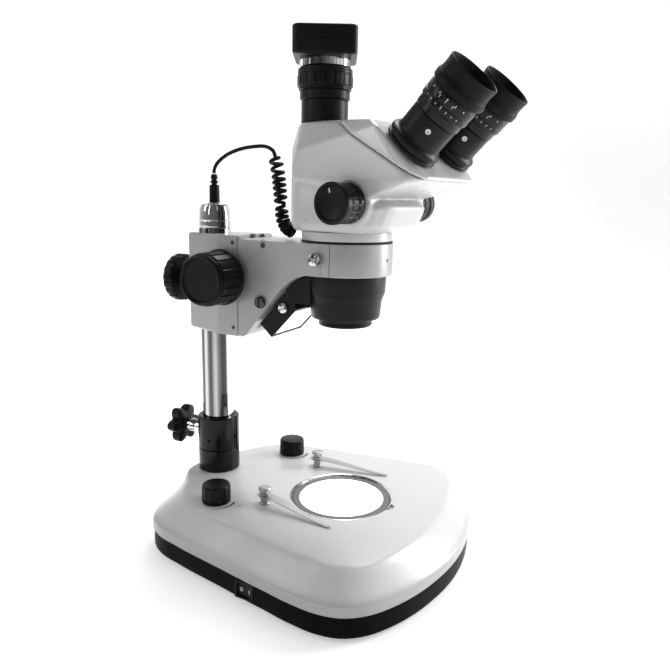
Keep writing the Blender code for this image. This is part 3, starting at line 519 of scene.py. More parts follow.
def cord():
    """The plug on the post cap, the lead and the coil in two parts, each across one joint."""
    plug = [(4.9, 0.3), (5.1, 1.0), (4.7, 18.0), (2.6, 18.6), (2.6, 20.0), (4.0, 20.4), (3.9, 22.0),
            (2.5, 22.4), (2.5, 23.8), (3.4, 24.2), (3.2, 27.0), (2.2, 28.6)]
    made_plug = piece("cord_plug_sleeve", lathe(plug, 40, ease=0.3), RUBBER, "stand",
                      place(0, POST_Y, CAP_TOP), stands_for=["cord_plug"])
    lead_path = [Vector((0.0, y, TOP + z)) for y, z in catmull(LEAD, 60)]
    upper_path = coil_path(0.0, 0.42, 7.25)
    lower_path = coil_path(0.425, 1.0, 8.75)
    lead = curve_mesh("cord_lead_skin", lead_path, "cord_lead")
    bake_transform(lead)
    upper = curve_mesh("cord_coil_top", upper_path, "cord_coil_upper")
    lower = curve_mesh("cord_coil_bottom", lower_path, "cord_coil_lower")
    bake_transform(upper)
    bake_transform(lower)


cord()


# --- Base ---

BASE_CENTRE_Y = 25.0
DIMMER_X, DIMMER_Y = 69, 98
CLIP_X, CLIP_Y = 51, 55
# right-hand halves of the outlines of the base and of its raised top
FOOTPRINT = [(0, -119.8), (26, -118.2), (50, -114), (74, -107.5), (98, -97.5), (119, -84), (132, -67),
             (136.5, -46), (135, -22), (130, 8), (123.5, 45), (118, 76), (111.5, 110), (104.5, 138),
             (92, 157), (66, 169), (34, 173), (0, 174)]
PLATEAU = [(0, -93.5), (34, -92), (66, -85.5), (93, -76.5), (108, -64), (114, -47), (111, -21), (104, 32),
           (97.5, 80), (91, 108), (78, 130), (60, 143), (46, 151), (37, 160), (24, 168.5), (0, 170)]


def smooth_radius(points, centre_y):
    """Periodic interpolation of a left-right symmetric outline given by its +X half."""
    polar = []
    for x, y in points:
        polar.append((math.atan2(y - centre_y, x), math.hypot(x, y - centre_y)))
        if x > 0.01:
            polar.append((math.atan2(y - centre_y, -x), math.hypot(x, y - centre_y)))
    polar = sorted((a % (2 * math.pi), r) for a, r in polar)

    def radius(angle):
        angle %= 2 * math.pi
        count = len(polar)
        after = next((i for i, (a, _) in enumerate(polar) if a > angle), 0)
        knots = []
        for k in (-2, -1, 0, 1):
            index = after + k
            a, r = polar[index % count]
            knots.append((a + 2 * math.pi * math.floor(index / count), r))
        if after == 0 and angle > polar[-1][0]:
            angle -= 2 * math.pi
        (a0, r0), (a1, r1), (a2, r2), (a3, r3) = knots
        slope1 = (r2 - r0) / (a2 - a0)
        slope2 = (r3 - r1) / (a3 - a1)
        span = a2 - a1
        t = (angle - a1) / span
        return ((2 * t**3 - 3 * t**2 + 1) * r1 + (t**3 - 2 * t**2 + t) * span * slope1
                + (3 * t**2 - 2 * t**3) * r2 + (t**3 - t**2) * span * slope2)

    return radius


footprint = smooth_radius(FOOTPRINT, BASE_CENTRE_Y)
plateau = smooth_radius(PLATEAU, BASE_CENTRE_Y)


def base_ring(blend, z, inset, steps=176):
    ring = []
    for i in range(steps):
        a = 2 * math.pi * i / steps
        r = (1 - blend) * footprint(a) + blend * plateau(a) - inset
        ring.append((r * math.cos(a), BASE_CENTRE_Y + r * math.sin(a), z))
    return ring


def base():
    skin = [(0.0, SEAM), (0.0, 26.2), (0.03, 27.8), (0.12, 29.8), (0.74, 43.4), (0.92, 47.0), (1.05, TOP)]
    outer = [base_ring(blend, z, 0.0) for blend, z in rounded(skin, 0.9, 4)]
    lining = [(0.0, SEAM), (0.0, 23.6), (0.03, 25.2), (0.74, 40.8), (1.05, TOP - 2.6)]
    inner = [base_ring(blend, z, 2.6) for blend, z in lining]
    well = raised(TOP, [(47.8, -8), (47.8, -1.4), (49.3, 0.1), (49.3, 6)])
    holes = [(lathe(well, 128, ease=0.0), None),
             (drill(7.0, TOP - 2.0, TOP + 4, 48), place(0, -47.8, 0)),
             (drill(6.4, TOP - 9, TOP + 5), place(0, POST_Y, 0))]
    for x in (-1, 1):
        holes.append((drill(3.6, TOP - 9, TOP + 5), place(x * DIMMER_X, DIMMER_Y, 0)))
        holes.append((drill(2.1, TOP - 9, TOP + 5), place(x * CLIP_X, CLIP_Y, 0)))
    piece("base_cover_shell", loft([*reversed(inner), *outer]), SHELL_WHITE, "stand",
          stands_for=["base_shell"], sharp=40, cuts=holes)

    walls = [(1.0, SEAM - 0.3), (1.0, 1.2), (1.5, -0.6), (2.4, -1.4), (4.2, -1.5)]
    outside = [base_ring(0.0, z, inset) for inset, z in walls]
    inside = [base_ring(0.0, SEAM - 0.3, 3.8), base_ring(0.0, 3.2, 3.8)]
    tray_cuts = [(box(-140, -110, 15.4, 32.6, 2.9, 15.7), None),
                 (drill(5.3, -12, 12), place(32, 170.5, 9, (0, 1, 0)))]
    piece("base_tray_skin", loft([*reversed(outside), *inside]), TRAY_BLACK, "stand",
          stands_for=["base_tray"], sharp=40, cuts=tray_cuts)

    # bezel round the power switch and its two generic state marks
    frame_at = place(-126.5, 24.0, 9.3, (-1, 0, 0), side=(0, 1, 0))
    outline = rounded_rect(10.6, -7.9, 7.9, 1.0)
    window = rounded_rect(8.3, -6.3, 6.3, 0.6)
    levels = ((window, 1, -3.0), (window, 1, 1.2), (outline, 0.985, 1.5), (outline, 1, 1.2),
              (outline, 1, -3.0))
    bezel = [[(x * f, y * f, z) for x, y in shape] for shape, f, z in levels]
    piece("switch_bezel", loft(bezel, closed=True), KNOB_BLACK, "stand", frame_at, sharp=30)
    rocker_at = place(-123.4, 24.0, 9.3, (-1, 0, 0), side=(0, 1, 0)) @ Matrix.Rotation(
        math.radians(6.0), 4, "Y")
    piece("switch_mark_on", box(-4.6, -4.0, -1.8, 1.8, 3.25, 3.6), MARK_WHITE, "switch", rocker_at)
    ring = [(1.1, 3.2), (1.1, 3.55), (1.6, 3.55), (1.6, 3.2)]
    piece("switch_mark_off", hollow(ring, 32, 0.05), MARK_WHITE, "switch",
          place(4.2, 0, 0, within=rocker_at))


def arc_mark(name, x, y, look):
    """A thin printed arc on the base, tapering from one end to the other."""
    radius, start, end, width, z, steps = 17.6, 205, 290, 2.2, TOP + 0.14, 40
    rings = []
    for i in range(steps + 1):
        a = math.radians(start + (end - start) * i / steps)
        half = width * (0.25 + 0.75 * i / steps) / 2
        cross = [(radius - half, z - 0.1), (radius + half, z - 0.1), (radius + half, z), (radius - half, z)]
        rings.append([(x + r * math.cos(a), y + r * math.sin(a), h) for r, h in cross])
    return piece(name, loft(rings), look, "stand")


def stage():
    plate = raised(TOP, [(40.8, -3.3), (47.0, -3.3), (47.4, -2.9), (47.4, -1.6), (47.0, -1.2), (41.2, -1.2),
                         (40.8, -1.5)])
    rim = piece("stage_plate_rim", hollow(plate, 128, 0.2), STAGE_RIM, "stage",
                stands_for=["stage_plate"])
    glass = raised(TOP, [(40.6, -3.2), (40.6, -1.45), (40.3, -1.3)])
    piece("stage_plate_glass", lathe(glass, 128, ease=0.1), OPAL_LIT, "stage")
    lip = raised(TOP, [(47.9, -1.45), (49.25, 0.02), (50.1, 0.1), (49.7, 0.22), (48.9, -0.05), (47.7, -1.2)])
    piece("stage_opening_lip", hollow(lip, 128, 0.1), CHROME, "stand")


def dimmers():
    ribs, per_rib = 14, 14
    for side, word, x in SIDES:
        body = "dimmer_" + word
        at = place(x * DIMMER_X, DIMMER_Y, TOP)
        sides = grip([(13.2, 0.0, 0.5), (13.6, 0.35, 1.0), (13.6, 0.75, 2.0), (13.5, 0.75, 14.6),
                      (13.3, 0.4, 15.8), (12.9, 0.1, 16.7), (12.2, 0.0, 17.2), (11.4, 0.0, 17.4)],
                     ribs, 0.66, per_rib)
        stem = circles([(3.2, -14.0), (3.2, 0.5)], ribs * per_rib)
        piece("dimmer_grip_" + side, loft([*stem, *sides]), KNOB_BLACK, body, at,
              stands_for=["dimmer_knob_" + side], sharp=28)
        socket = place(-13.5 * 0.62, -13.5 * 0.785, 4.8, (-0.62, -0.785, 0), within=at)
        screw = [(1.5, -0.6), (1.5, 0.05), (0.9, 0.05), (0.8, -0.4)]
        piece("dimmer_set_screw_" + side, lathe(screw, 24, ease=0.05), DARK_STEEL, body, socket)
        arc_mark("dimmer_scale_" + side, x * DIMMER_X, DIMMER_Y, INK)
        ring = raised(TOP, [(1.2, -0.05), (1.2, 0.06), (1.55, 0.06), (1.55, -0.05)])
        piece("dimmer_lamp_mark_" + side, hollow(ring, 32, 0.02), INK, "stand",
              place(x * DIMMER_X + 2.0, 72, 0))


def clips():
    pillar = [(1.8, -6), (1.8, 0.3), (4.7, 0.3), (4.7, 1.1), (4.1, 1.6), (4.1, 6.4), (5.0, 6.9), (5.0, 7.9),
              (2.9, 7.9), (2.9, 9.0), (5.2, 9.0), (5.2, 10.9), (3.3, 11.4), (3.2, 12.6), (4.4, 13.4),
              (5.9, 14.0), (5.9, 15.9), (5.2, 16.7), (2.8, 17.1)]
    # (distance along, half width, height) of the spring's underside
    stations = [(7.6, 1.6, 0.0), (7.0, 3.2, 0.0), (4.8, 4.9, 0.0), (1.0, 5.7, 0.0), (-6, 5.6, 0.0),
                (-14, 5.0, -0.1), (-28, 4.3, -1.7), (-44, 3.4, -4.0), (-58, 2.6, -5.8), (-68, 2.2, -6.9),
                (-73, 1.9, -7.3), (-76, 1.6, -7.1), (-77, 1.2, -6.8)]
    for side, word, x in SIDES:
        body = "clip_" + word
        at = place(x * CLIP_X, CLIP_Y, TOP)
        piece("clip_post_" + side, lathe(pillar, 56, ease=0.35), STEEL, body, at,
              stands_for=["clip_pillar_" + side])
        eye_at = place(z=8.05, within=at)
        rings = [[(-w, y, z + 0.15), (-w + 0.25, y, z), (w - 0.25, y, z), (w, y, z + 0.15), (w, y, z + 0.6),
                  (w - 0.25, y, z + 0.8), (-w + 0.25, y, z + 0.8), (-w, y, z + 0.6)]
                 for y, w, z in catmull(stations, 60)]
        piece("clip_spring_" + side, loft(rings), STEEL, body,
              eye_at @ spin(x * 9.0),
              stands_for=["clip_blade_" + side], sharp=30, cuts=[(drill(3.1, -3, 4), eye_at)])


base()
stage()
dimmers()
clips()


# --- Post ---

COLLAR_R = 21.3
COLLAR_SEAM, COLLAR_TOP = TOP + 23.5, TOP + 58.2
CLAMP_Z = TOP + 39.5
CAP_BOTTOM = TOP + 252.3


def post():
    at = place(0, POST_Y, 0)
    bore, outer = 16.3, COLLAR_R
    foot = [(bore, TOP + 0.3), (outer, TOP + 0.3), (outer, COLLAR_SEAM - 0.5), (outer - 0.5, COLLAR_SEAM),
            (bore, COLLAR_SEAM)]
    piece("post_foot_ring", hollow(foot, 112, 0.35), ANODISED, "stand", at,
          stands_for=["post_foot"])
    low = COLLAR_SEAM + 0.3
    ring = [(bore, low), (outer - 0.5, low), (outer, low + 0.5), (outer, COLLAR_TOP - 1.0),
            (outer - 1.0, COLLAR_TOP), (bore, COLLAR_TOP)]
    cuts = [(box(-3.6, 3.6, POST_Y - 30, POST_Y - 20.1, low - 2, COLLAR_TOP + 2), None),
            (box(-0.5, 0.5, POST_Y - 30, POST_Y - 12, low - 2, COLLAR_TOP + 2), None),
            (drill(1.7, -3, 5, 24), place(1.6, POST_Y - 20.4, CLAMP_Z - 3, (0, -1, 0))),
            (drill(1.3, -3, 5, 24), place(-20.9, POST_Y - 3.0, CLAMP_Z - 5, (-1, -0.1, 0))),
            (drill(4.3, 0, 40, 40), place(0, POST_Y + 12, CLAMP_Z, (0, 1, 0)))]
    piece("post_clamp_ring", hollow(ring, 112, 0.35), ANODISED, "stand", at,
          stands_for=["post_clamp"], sharp=40, cuts=cuts)
    tube = [(16.0, TOP + 0.3), (16.0, CAP_BOTTOM - 0.3), (14.0, CAP_BOTTOM - 0.3), (14.0, TOP + 0.3)]
    piece("post_tube", hollow(tube, 128, 0.3), POST_CHROME, "stand", at, stands_for=["post"])
    cap = [*raised(CAP_BOTTOM, [(15.4, 0.0), (15.9, 0.6), (15.9, 6.2), (15.5, 6.6), (15.5, 7.2),
                                (15.8, 7.6)]),
           *raised(CAP_TOP, [(15.2, -6.0), (14.3, -2.4), (13.6, -0.8), (12.8, 0.0), (4.0, 0.0)])]
    piece("post_cap_barrel", lathe(cap, 128, ease=0.5), CHROME, "stand", at, stands_for=["post_cap"])
    collar = raised(CAP_TOP, [(5.3, -0.2), (7.4, -0.2), (7.4, 0.9), (6.9, 1.3), (5.3, 1.3)])
    piece("post_socket_ring", hollow(collar, 64, 0.25), CHROME, "stand", at)

    # star knob with its chrome ferrule
    knob_at = place(0, POST_Y + 15.4, CLAMP_Z, (0, 1, 0))
    steps, lobes, hub_share = 168, 6, 0.55
    rings = circles([(3.9, 2.2), (3.9, 20.0), (6.0, 20.0), (6.2, 24.0), (8.6, 26.6)], steps)
    levels = [(0.86, 27.0), (0.94, 27.4), (0.99, 28.4), (1.0, 29.6), (1.0, 36.0), (0.985, 37.4), (0.94, 38.7),
              (0.86, 39.4), (0.5, 39.6), (0.46, 38.4), (0.3, 38.2)]
    for factor, z in levels:
        ring = []
        for i in range(steps):
            a = 2 * math.pi * i / steps
            lobe = 0.5 + 0.5 * math.cos(lobes * a)
            r = (13.6 + 7.3 * lobe**0.7) * factor if factor > hub_share else 15.5 * factor
            ring.append((r * math.cos(a), r * math.sin(a), z))
        rings.append(ring)
    piece("clamp_star", loft(rings), KNOB_BLACK, "post_screw", knob_at, stands_for=["clamp_knob"], sharp=36)
    ferrule = [(4.1, 5.9), (7.4, 5.9), (7.8, 6.6), (7.8, 12.0), (7.0, 13.0), (6.6, 19.4), (7.2, 19.8),
               (7.2, 23.2), (6.4, 23.8), (6.4, 19.9), (4.1, 19.9)]
    piece("clamp_ferrule", hollow(ferrule, 72, 0.4), CHROME, "post_screw", knob_at)


post()


# --- Focus block, knobs and arm ---

def dress(node_name, look, bevel=0.0):
    """Give a CAD node its finished material and, where asked, softly rounded edges."""
    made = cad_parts[node_name]
    for slot_used in made.material_slots:
        slot_used.material = look
    if not made.material_slots:
        made.data.materials.append(look)
    if bevel:
        modifier = made.modifiers.new("edges", "BEVEL")
        modifier.width = bevel * MM
        modifier.segments = 3
        modifier.limit_method = "ANGLE"
        modifier.angle_limit = math.radians(30.0)
        modifier.harden_normals = True


def focus_unit():
    dress("focus_block", CAST_GREY, 0.5)
    dress("focus_arm", CAST_GREY, 0.4)
    dress("post_bush", BRASS)
    dress("rack", BRASS)
    dress("pinion_shaft", STEEL)
    ribs, per_rib = 18, 12
    count = ribs * per_rib
    for side, _, x in SIDES:
        outward = place(x * 30, 111, TOP + 209, (x, 0, 0), side=(0, 0, 1))
        sides = grip([(25.6, 0.0, 8.0), (26.2, 0.0, 8.4), (26.3, 0.0, 9.6), (26.0, 0.0, 10.3),
                      (25.0, 0.0, 10.6), (24.7, 0.5, 11.0), (24.7, 1.1, 11.8), (24.5, 1.1, 33.4),
                      (24.2, 0.7, 34.4), (23.8, 0.1, 34.9), (22.9, 0.0, 35.2), (22.9, 0.0, 36.2), (23.4, 0.0, 36.6),
                      (23.4, 0.0, 38.2), (23.0, 0.0, 38.6), (22.5, 0.0, 38.7), (22.6, 0.0, 39.9),
                      (22.1, 0.0, 40.6), (21.0, 0.0, 40.8)], ribs, 0.7, per_rib)
        hub = circles([(4.3, 36.3), (4.3, 0.7), (9.0, 0.7), (9.0, 8.0)], count)
        dish = circles([(20.2, 40.5), (19.4, 39.2), (19.1, 38.7), (12.0, 38.6), (5.5, 38.6)], count)
        piece("focus_grip_" + side, loft([*hub, *sides, *dish]), KNOB_BLACK, "pinion", outward,
              stands_for=["focus_knob_" + side], sharp=24)
        trim = [(20.9, 40.5), (21.9, 40.6), (22.2, 40.35), (22.2, 40.0), (20.9, 40.2)]
        piece("focus_trim_" + side, hollow(trim, 96, 0.08), DARK_STEEL, "pinion", outward)

    lock_at = place(0, POST_Y + 17.2, TOP + 200, (0, 1, 0))
    wheel = grip([(22.6, 0.2, 21.6), (23.6, 0.8, 22.2), (24.1, 1.2, 23.2), (24.2, 1.2, 29.6),
                  (23.8, 0.9, 31.2), (22.8, 0.3, 32.0), (21.4, 0.0, 32.3)], ribs, 0.55, per_rib)
    stud = circles([(3.9, 1.0), (3.9, 5.8), (9.0, 5.8), (9.0, 21.2)], count)
    face = circles([(19.0, 32.2), (17.6, 31.2), (7.0, 31.0)], count)
    piece("lock_wheel", loft([*stud, *wheel, *face]), KNOB_BLACK, "block_lock", lock_at,
          stands_for=["lock_knob"], sharp=26)

    for index, z in enumerate((TOP + 241.0, TOP + 160.5)):
        socket_screw(f"block_screw_{index + 1}", place(-30.0, 104.2, z, (-1, 0, 0)), "block",
                     1.9, 0.35, DARK_STEEL)
    # directions along and out of the arm's left cheek, which starts at (-31, 97.3)
    along = Vector((-10.6, -91.4, 0)).normalized()
    out = Vector((-91.4, 10.6, 0)).normalized()
    upper = place(-31 + along.x * 30.5, 97.3 + along.y * 30.5, TOP + 240.5, direction=out, side=(0, 0, 1))
    socket_screw("arm_screw", upper, "arm", 2.6, 0.5, DARK_STEEL)
    crescent = [(3.6, -0.2), (3.8, 0.35), (4.9, 0.35), (5.2, -0.2)]
    piece("arm_screw_rim", hollow(crescent, 48, 0.1), CAST_GREY, "arm", upper)
    drag = place(-31 + along.x * 28, 97.3 + along.y * 28, TOP + 188.5, direction=out, side=(0, 0, 1))
    screw = [(2.3, -6), (2.3, 0.3), (5.2, 0.3), (5.5, 0.8), (5.5, 3.2), (5.0, 3.9), (4.2, 4.0), (3.9, 3.5)]
    piece("drag_screw_head", lathe(screw, 48, ease=0.2), DARK_STEEL, "drag_screw", drag,
          stands_for=["tension_screw"], cuts=[(box(-8, 8, -0.7, 0.7, 2.4, 6), drag)])
    boss = [(5.8, -0.3), (5.8, 0.25), (6.8, 0.25), (7.2, -0.3)]
    piece("drag_screw_seat", hollow(boss, 56, 0.1), CAST_GREY, "arm", drag)


def ring():
    low, high = RING_LOW, RING_HIGH
    holder = [(38.3, low), (40.8, low), (41.6, low + 0.8), (41.6, high - 0.8), (40.8, high), (38.3, high)]
    screw_at = place(-41.6, 8.0, TOP + 231.5, (-1, 0, 0))
    pin_at = place(-4.0, -41.2, TOP + 231.0, (-0.1, -1, 0))
    cuts = [(drill(3.2, -12, 12, 40), screw_at), (box(-46, -40.2, -4.6, -4.0, low - 2, high + 2), None),
            (drill(1.5, -1.2, 4, 24), pin_at)]
    piece("head_ring", hollow(holder, 160, 0.4), CAST_GREY, "arm", stands_for=["ring_holder"],
          sharp=40, cuts=cuts)
    neck = [(30.0, low + 1), (38.0, low + 1), (38.0, high + 1.6), (40.4, high + 1.6), (40.4, NECK_TOP),
            (30.0, NECK_TOP)]
    piece("head_neck_ring", hollow(neck, 160, 0.5), HEAD_GREY, "head", HEAD,
          stands_for=["head_neck"])
    seal = raised(high, [(38.4, 0.2), (40.9, 0.2), (41.2, 0.8), (40.9, 1.45), (38.4, 1.45)])
    piece("head_seal", hollow(seal, 160, 0.3), RUBBER, "head", HEAD)
    shank = [(2.9, -3.0), (2.9, 1.6), (4.4, 1.7), (5.5, 2.5), (5.7, 4.4), (5.4, 6.2), (4.6, 7.0), (2.0, 7.2)]
    piece("ring_screw_head", lathe(shank, 56, ease=0.35), CHROME, "head_screw", screw_at,
          stands_for=["ring_screw"], cuts=cross_cut(3.4, 0.55, 5.2, 12, screw_at))


def lamp():
    """The lit diffuser is a pillow-shaped plate between a crowned face and a flat back."""
    dress("lamp_housing", SATIN_BLACK, 0.5)
    dress("lamp_bracket", SATIN_BLACK, 0.6)
    axle_y, axle_z = 50.0, TOP + 184.0
    rows = []
    for i in range(17):
        u = -1 + i / 8
        vs = [-1 + j / 12 for j in range(25)]
        rows.append([(-12.85 + 15.3 * u, 8.9 + 1.35 * (1 - u**4) * (1 - v**4), 24.6 * v) for v in vs])
    shape = bmesh.new()
    faces = [[[shape.verts.new(p) for p in row] for row in rows],
             [[shape.verts.new((x, 8.3, z)) for x, y, z in row] for row in rows]]
    rims = []
    for grid in faces:
        for r0, r1 in zip(grid, grid[1:]):
            for k in range(len(r0) - 1):
                shape.faces.new((r0[k], r0[k + 1], r1[k + 1], r1[k]))
        rims.append([*grid[0], *[r[-1] for r in grid[1:]], *reversed(grid[-1][:-1]),
                     *[r[0] for r in reversed(grid[1:-1])]])
    wall(shape, *rims)
    piece("lamp_diffuser", shape, OPAL_LIT, "lamp",
          place(0, axle_y, axle_z, (1, 0, 0), side=(0, -28.0, 30.0)), stands_for=["lamp_window"])
    for side, _, x in SIDES:
        cross_screw("lamp_pivot_" + side,
                    place(x * 27.9, axle_y, axle_z, (x, 0, 0), side=(0, 0.5, 1)), "arm", 4.9, 1.9)


def objective():
    barrel = [(29.7, NECK_TOP - 6), (29.7, RING_LOW + 0.7), (36.4, RING_LOW + 0.7),
              *raised(TOP, [(36.4, 214.0), (35.8, 200.2), (35.0, 199.9), (35.2, 199.4), (32.9, 192.4),
                            (31.7, 178.6), (30.4, 176.7), (24.9, 176.2), (24.6, 175.6), (24.6, 173.6),
                            (24.1, 173.2), (24.1, 172.7), (24.6, 172.3), (24.5, 170.6), (23.4, 169.6),
                            (20.4, 169.6), (20.4, 176.0), (26.0, 190.0)]), (26.0, NECK_TOP - 6)]
    piece("objective_barrel", hollow(barrel, 144, 0.5), SATIN_BLACK, "head", HEAD,
          stands_for=["objective"])
    lens = raised(TOP, [(0.6, 170.4), (7.0, 170.6), (13.0, 171.2), (19.0, 171.6), (20.0, 172.2),
                        (20.0, 175.4), (12.0, 176.6)])
    piece("objective_glass", lathe(lens, 96, ease=0.2), LENS, "head", HEAD, stands_for=["objective_lens"])


focus_unit()
ring()
lamp()
objective()


# --- Head ---

def soften(name, node_name, look, rounds):
    """A copy of one of the head's CAD nodes with its edges melted into soft casting radii."""
    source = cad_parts[node_name]
    made = add_object(name, source.data.copy())
    made.matrix_world = source.matrix_world.copy()
    remesh = made.modifiers.new("voxels", "REMESH")
    remesh.mode = "VOXEL"
    remesh.voxel_size = 0.9 * MM
    remesh.use_smooth_shade = True
    relax = made.modifiers.new("relax", "SMOOTH")
    relax.factor = 0.5
    relax.iterations = rounds
    keep_result(made)
    made.data.materials.clear()
    made.data.materials.append(look)
    made.data.shade_smooth()
    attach(made, "head")
    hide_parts(node_name)


def zoom_knobs():
    dress("zoom_shaft", STEEL)
    ribs, per_rib = 20, 10
    count = ribs * per_rib
    for side, _, x in SIDES:
        outward = place(0, ZOOM_Y, ZOOM_Z, (x, 0, 0), side=(0, 0, 1), within=HEAD)
        sides = grip([(15.2, 0.0, 44.6), (16.0, 0.2, 45.2), (16.3, 0.55, 46.2), (16.2, 0.55, 51.6),
                      (15.9, 0.2, 52.2), (15.5, 0.0, 52.6), (15.5, 0.0, 53.4), (16.0, 0.2, 53.8),
                      (16.2, 0.55, 54.6), (16.1, 0.55, 61.4), (15.8, 0.1, 62.2), (15.7, 0.0, 62.6),
                      (16.5, 0.0, 63.1), (16.6, 0.0, 63.8), (16.6, 0.0, 68.8), (16.3, 0.0, 69.6),
                      (15.7, 0.0, 70.0), (14.4, 0.0, 70.0)], ribs, 0.6, per_rib)
        bore = circles([(5.3, 52.3), (5.3, 44.6)], count)
        dish = circles([(13.6, 69.8), (13.2, 69.2), (12.6, 68.2), (9.0, 67.6), (3.0, 67.1)], count)
        piece("zoom_grip_" + side, loft([*bore, *sides, *dish]), KNOB_BLACK, "zoom", outward,
              stands_for=["zoom_knob_" + side], sharp=26)
        pointer_at = outward @ spin(12)
        piece("zoom_pointer_" + side, box(8.4, 12.0, -0.35, 0.35, 67.9, 68.7), MARK_WHITE, "zoom", pointer_at)


def head():
    soften("head_casting", "head_body", HEAD_GREY, 26)
    soften("prism_lid", "prism_cover", COVER_WHITE, 22)
    zoom_knobs()


# the lit bars of each numeral: 3, 2, 1, 2, 4
DIGIT_BARS = ("gbcda", "abged", "bc", "abged", "fgbc")


def dial_marks(name, at, radius, z, count, spread, length, body):
    """Evenly spaced ticks engraved round a barrel, longer at the middle one."""
    shape = bmesh.new()
    half = 0.18
    for i in range(count):
        turn = Matrix.Rotation(math.radians(-spread / 2 + spread * i / (count - 1)), 4, "Z")
        reach = length * (1.5 if i == count // 2 else 1.0)
        corners = [(radius - 0.1, -half), (radius + 0.05, -half), (radius + 0.05, half), (radius - 0.1, half)]
        prism(shape, *[[turn @ Vector((x, y, h)) for x, y in corners] for h in (z, z + reach)])
    piece(name, shape, MARK_WHITE, body, at)


def digits(name, at, radius, z, body):
    """A row of small engraved numerals wrapped round a barrel, each built from bars."""
    bars = {"a": (-0.5, 1.0, 0.5, 1.0), "b": (0.5, 0.0, 0.5, 1.0), "c": (0.5, -1.0, 0.5, 0.0),
            "d": (-0.5, -1.0, 0.5, -1.0), "e": (-0.5, -1.0, -0.5, 0.0), "f": (-0.5, 0.0, -0.5, 1.0),
            "g": (-0.5, 0.0, 0.5, 0.0)}
    size, half = 0.75, 0.11
    shape = bmesh.new()
    for i, used in enumerate(DIGIT_BARS):
        turn = math.radians(-42 + 21 * i)
        for key in used:
            x0, y0, x1, y1 = (size * v for v in bars[key])
            wide, tall = (half, 0.0) if x0 == x1 else (0.0, half)
            corners = [(x0 - wide, y0 - tall), (x1 + wide, y0 - tall), (x1 + wide, y1 + tall),
                       (x0 - wide, y1 + tall)]
            prism(shape, *[[(r * math.cos(turn + x / radius), r * math.sin(turn + x / radius), z + y)
                            for x, y in corners] for r in (radius - 0.1, radius + 0.04)])
    piece(name, shape, MARK_WHITE, body, at)


def eyepieces():
    tube = [(15.6, 0.4), (21.5, 0.4), (22.4, 1.0), (22.7, 2.2), (22.3, 3.4), (21.4, 3.9), (21.4, 4.5),
            (22.4, 5.0), (22.8, 6.4), (22.5, 8.4), (21.4, 9.6), (20.0, 10.4), (19.2, 11.6), (18.9, 14.0),
            (18.9, 31.2), (15.6, 31.2)]
    barrel = [(15.3, 12.0), (15.3, 31.7), (19.0, 31.7), (19.6, 32.1), (19.6, 38.2), (20.5, 38.6),
              (20.9, 39.0), (20.9, 43.6), (20.5, 43.8), (20.5, 44.2), (20.9, 44.4), (20.9, 50.6),
              (20.5, 51.2), (20.4, 52.2), (19.5, 52.5), (19.5, 57.0), (16.4, 57.0), (16.4, 51.0),
              (12.6, 51.0), (12.6, 12.0)]
    cup = [(19.8, 52.9), (21.8, 52.9), (22.3, 53.6), (22.4, 57.4), (22.1, 58.8), (21.4, 60.0), (21.0, 62.0),
           (20.9, 66.0), (21.3, 70.2), (21.3, 71.3), (20.9, 71.7), (20.4, 71.3), (19.6, 67.0), (18.2, 61.5),
           (17.3, 57.4), (19.8, 57.4)]
    lens = [(16.1, 51.3), (16.1, 54.6), (14.0, 55.6), (10.0, 56.4), (5.0, 56.9), (1.0, 57.0)]
    seat = [(2.3, -0.2), (2.5, 0.35), (3.4, 0.3), (3.7, -0.2)]
    for side, word, x in SIDES:
        swing, turned = "eye_tube_" + word, "eyepiece_" + word
        axis = place(x * EYE_X, EYE_Y, EYE_Z, (0, -1, 1), within=HEAD)
        piece("eye_sleeve_" + side, hollow(tube, 112, 0.5), SATIN_BLACK, swing, axis,
              stands_for=["eye_tube_" + side])
        piece("eyepiece_barrel_" + side, hollow(barrel, 112, 0.3), ANODISED, turned, axis,
              stands_for=["eyepiece_" + side])
        piece("eyecup_skirt_" + side, hollow(cup, 112, 0.6), RUBBER, turned, axis,
              stands_for=["eyecup_" + side])
        piece("eye_glass_" + side, lathe(lens, 72, ease=0.2), LENS, turned, axis,
              stands_for=["eye_lens_" + side])
        facing = axis @ spin(-160)
        dial_marks("eye_dial_" + side, facing, 20.9, 41.2, 7, 84, 1.7, turned)
        dial_marks("eye_index_" + side, facing, 20.9, 46.6, 3, 34, 2.4, turned)
        digits("eye_digits_" + side, facing, 20.95, 49.4, turned)
        screw_at = place(18.8, 0, 24.0, (1, 0, 0), within=axis @ spin(-148))
        socket_screw("eye_set_screw_" + side, screw_at, swing, 2.1, 1.6, STEEL)
        piece("eye_screw_seat_" + side, hollow(seat, 40, 0.1), ANODISED, swing, screw_at)


head()
eyepieces()


# --- Photo tube and camera ---

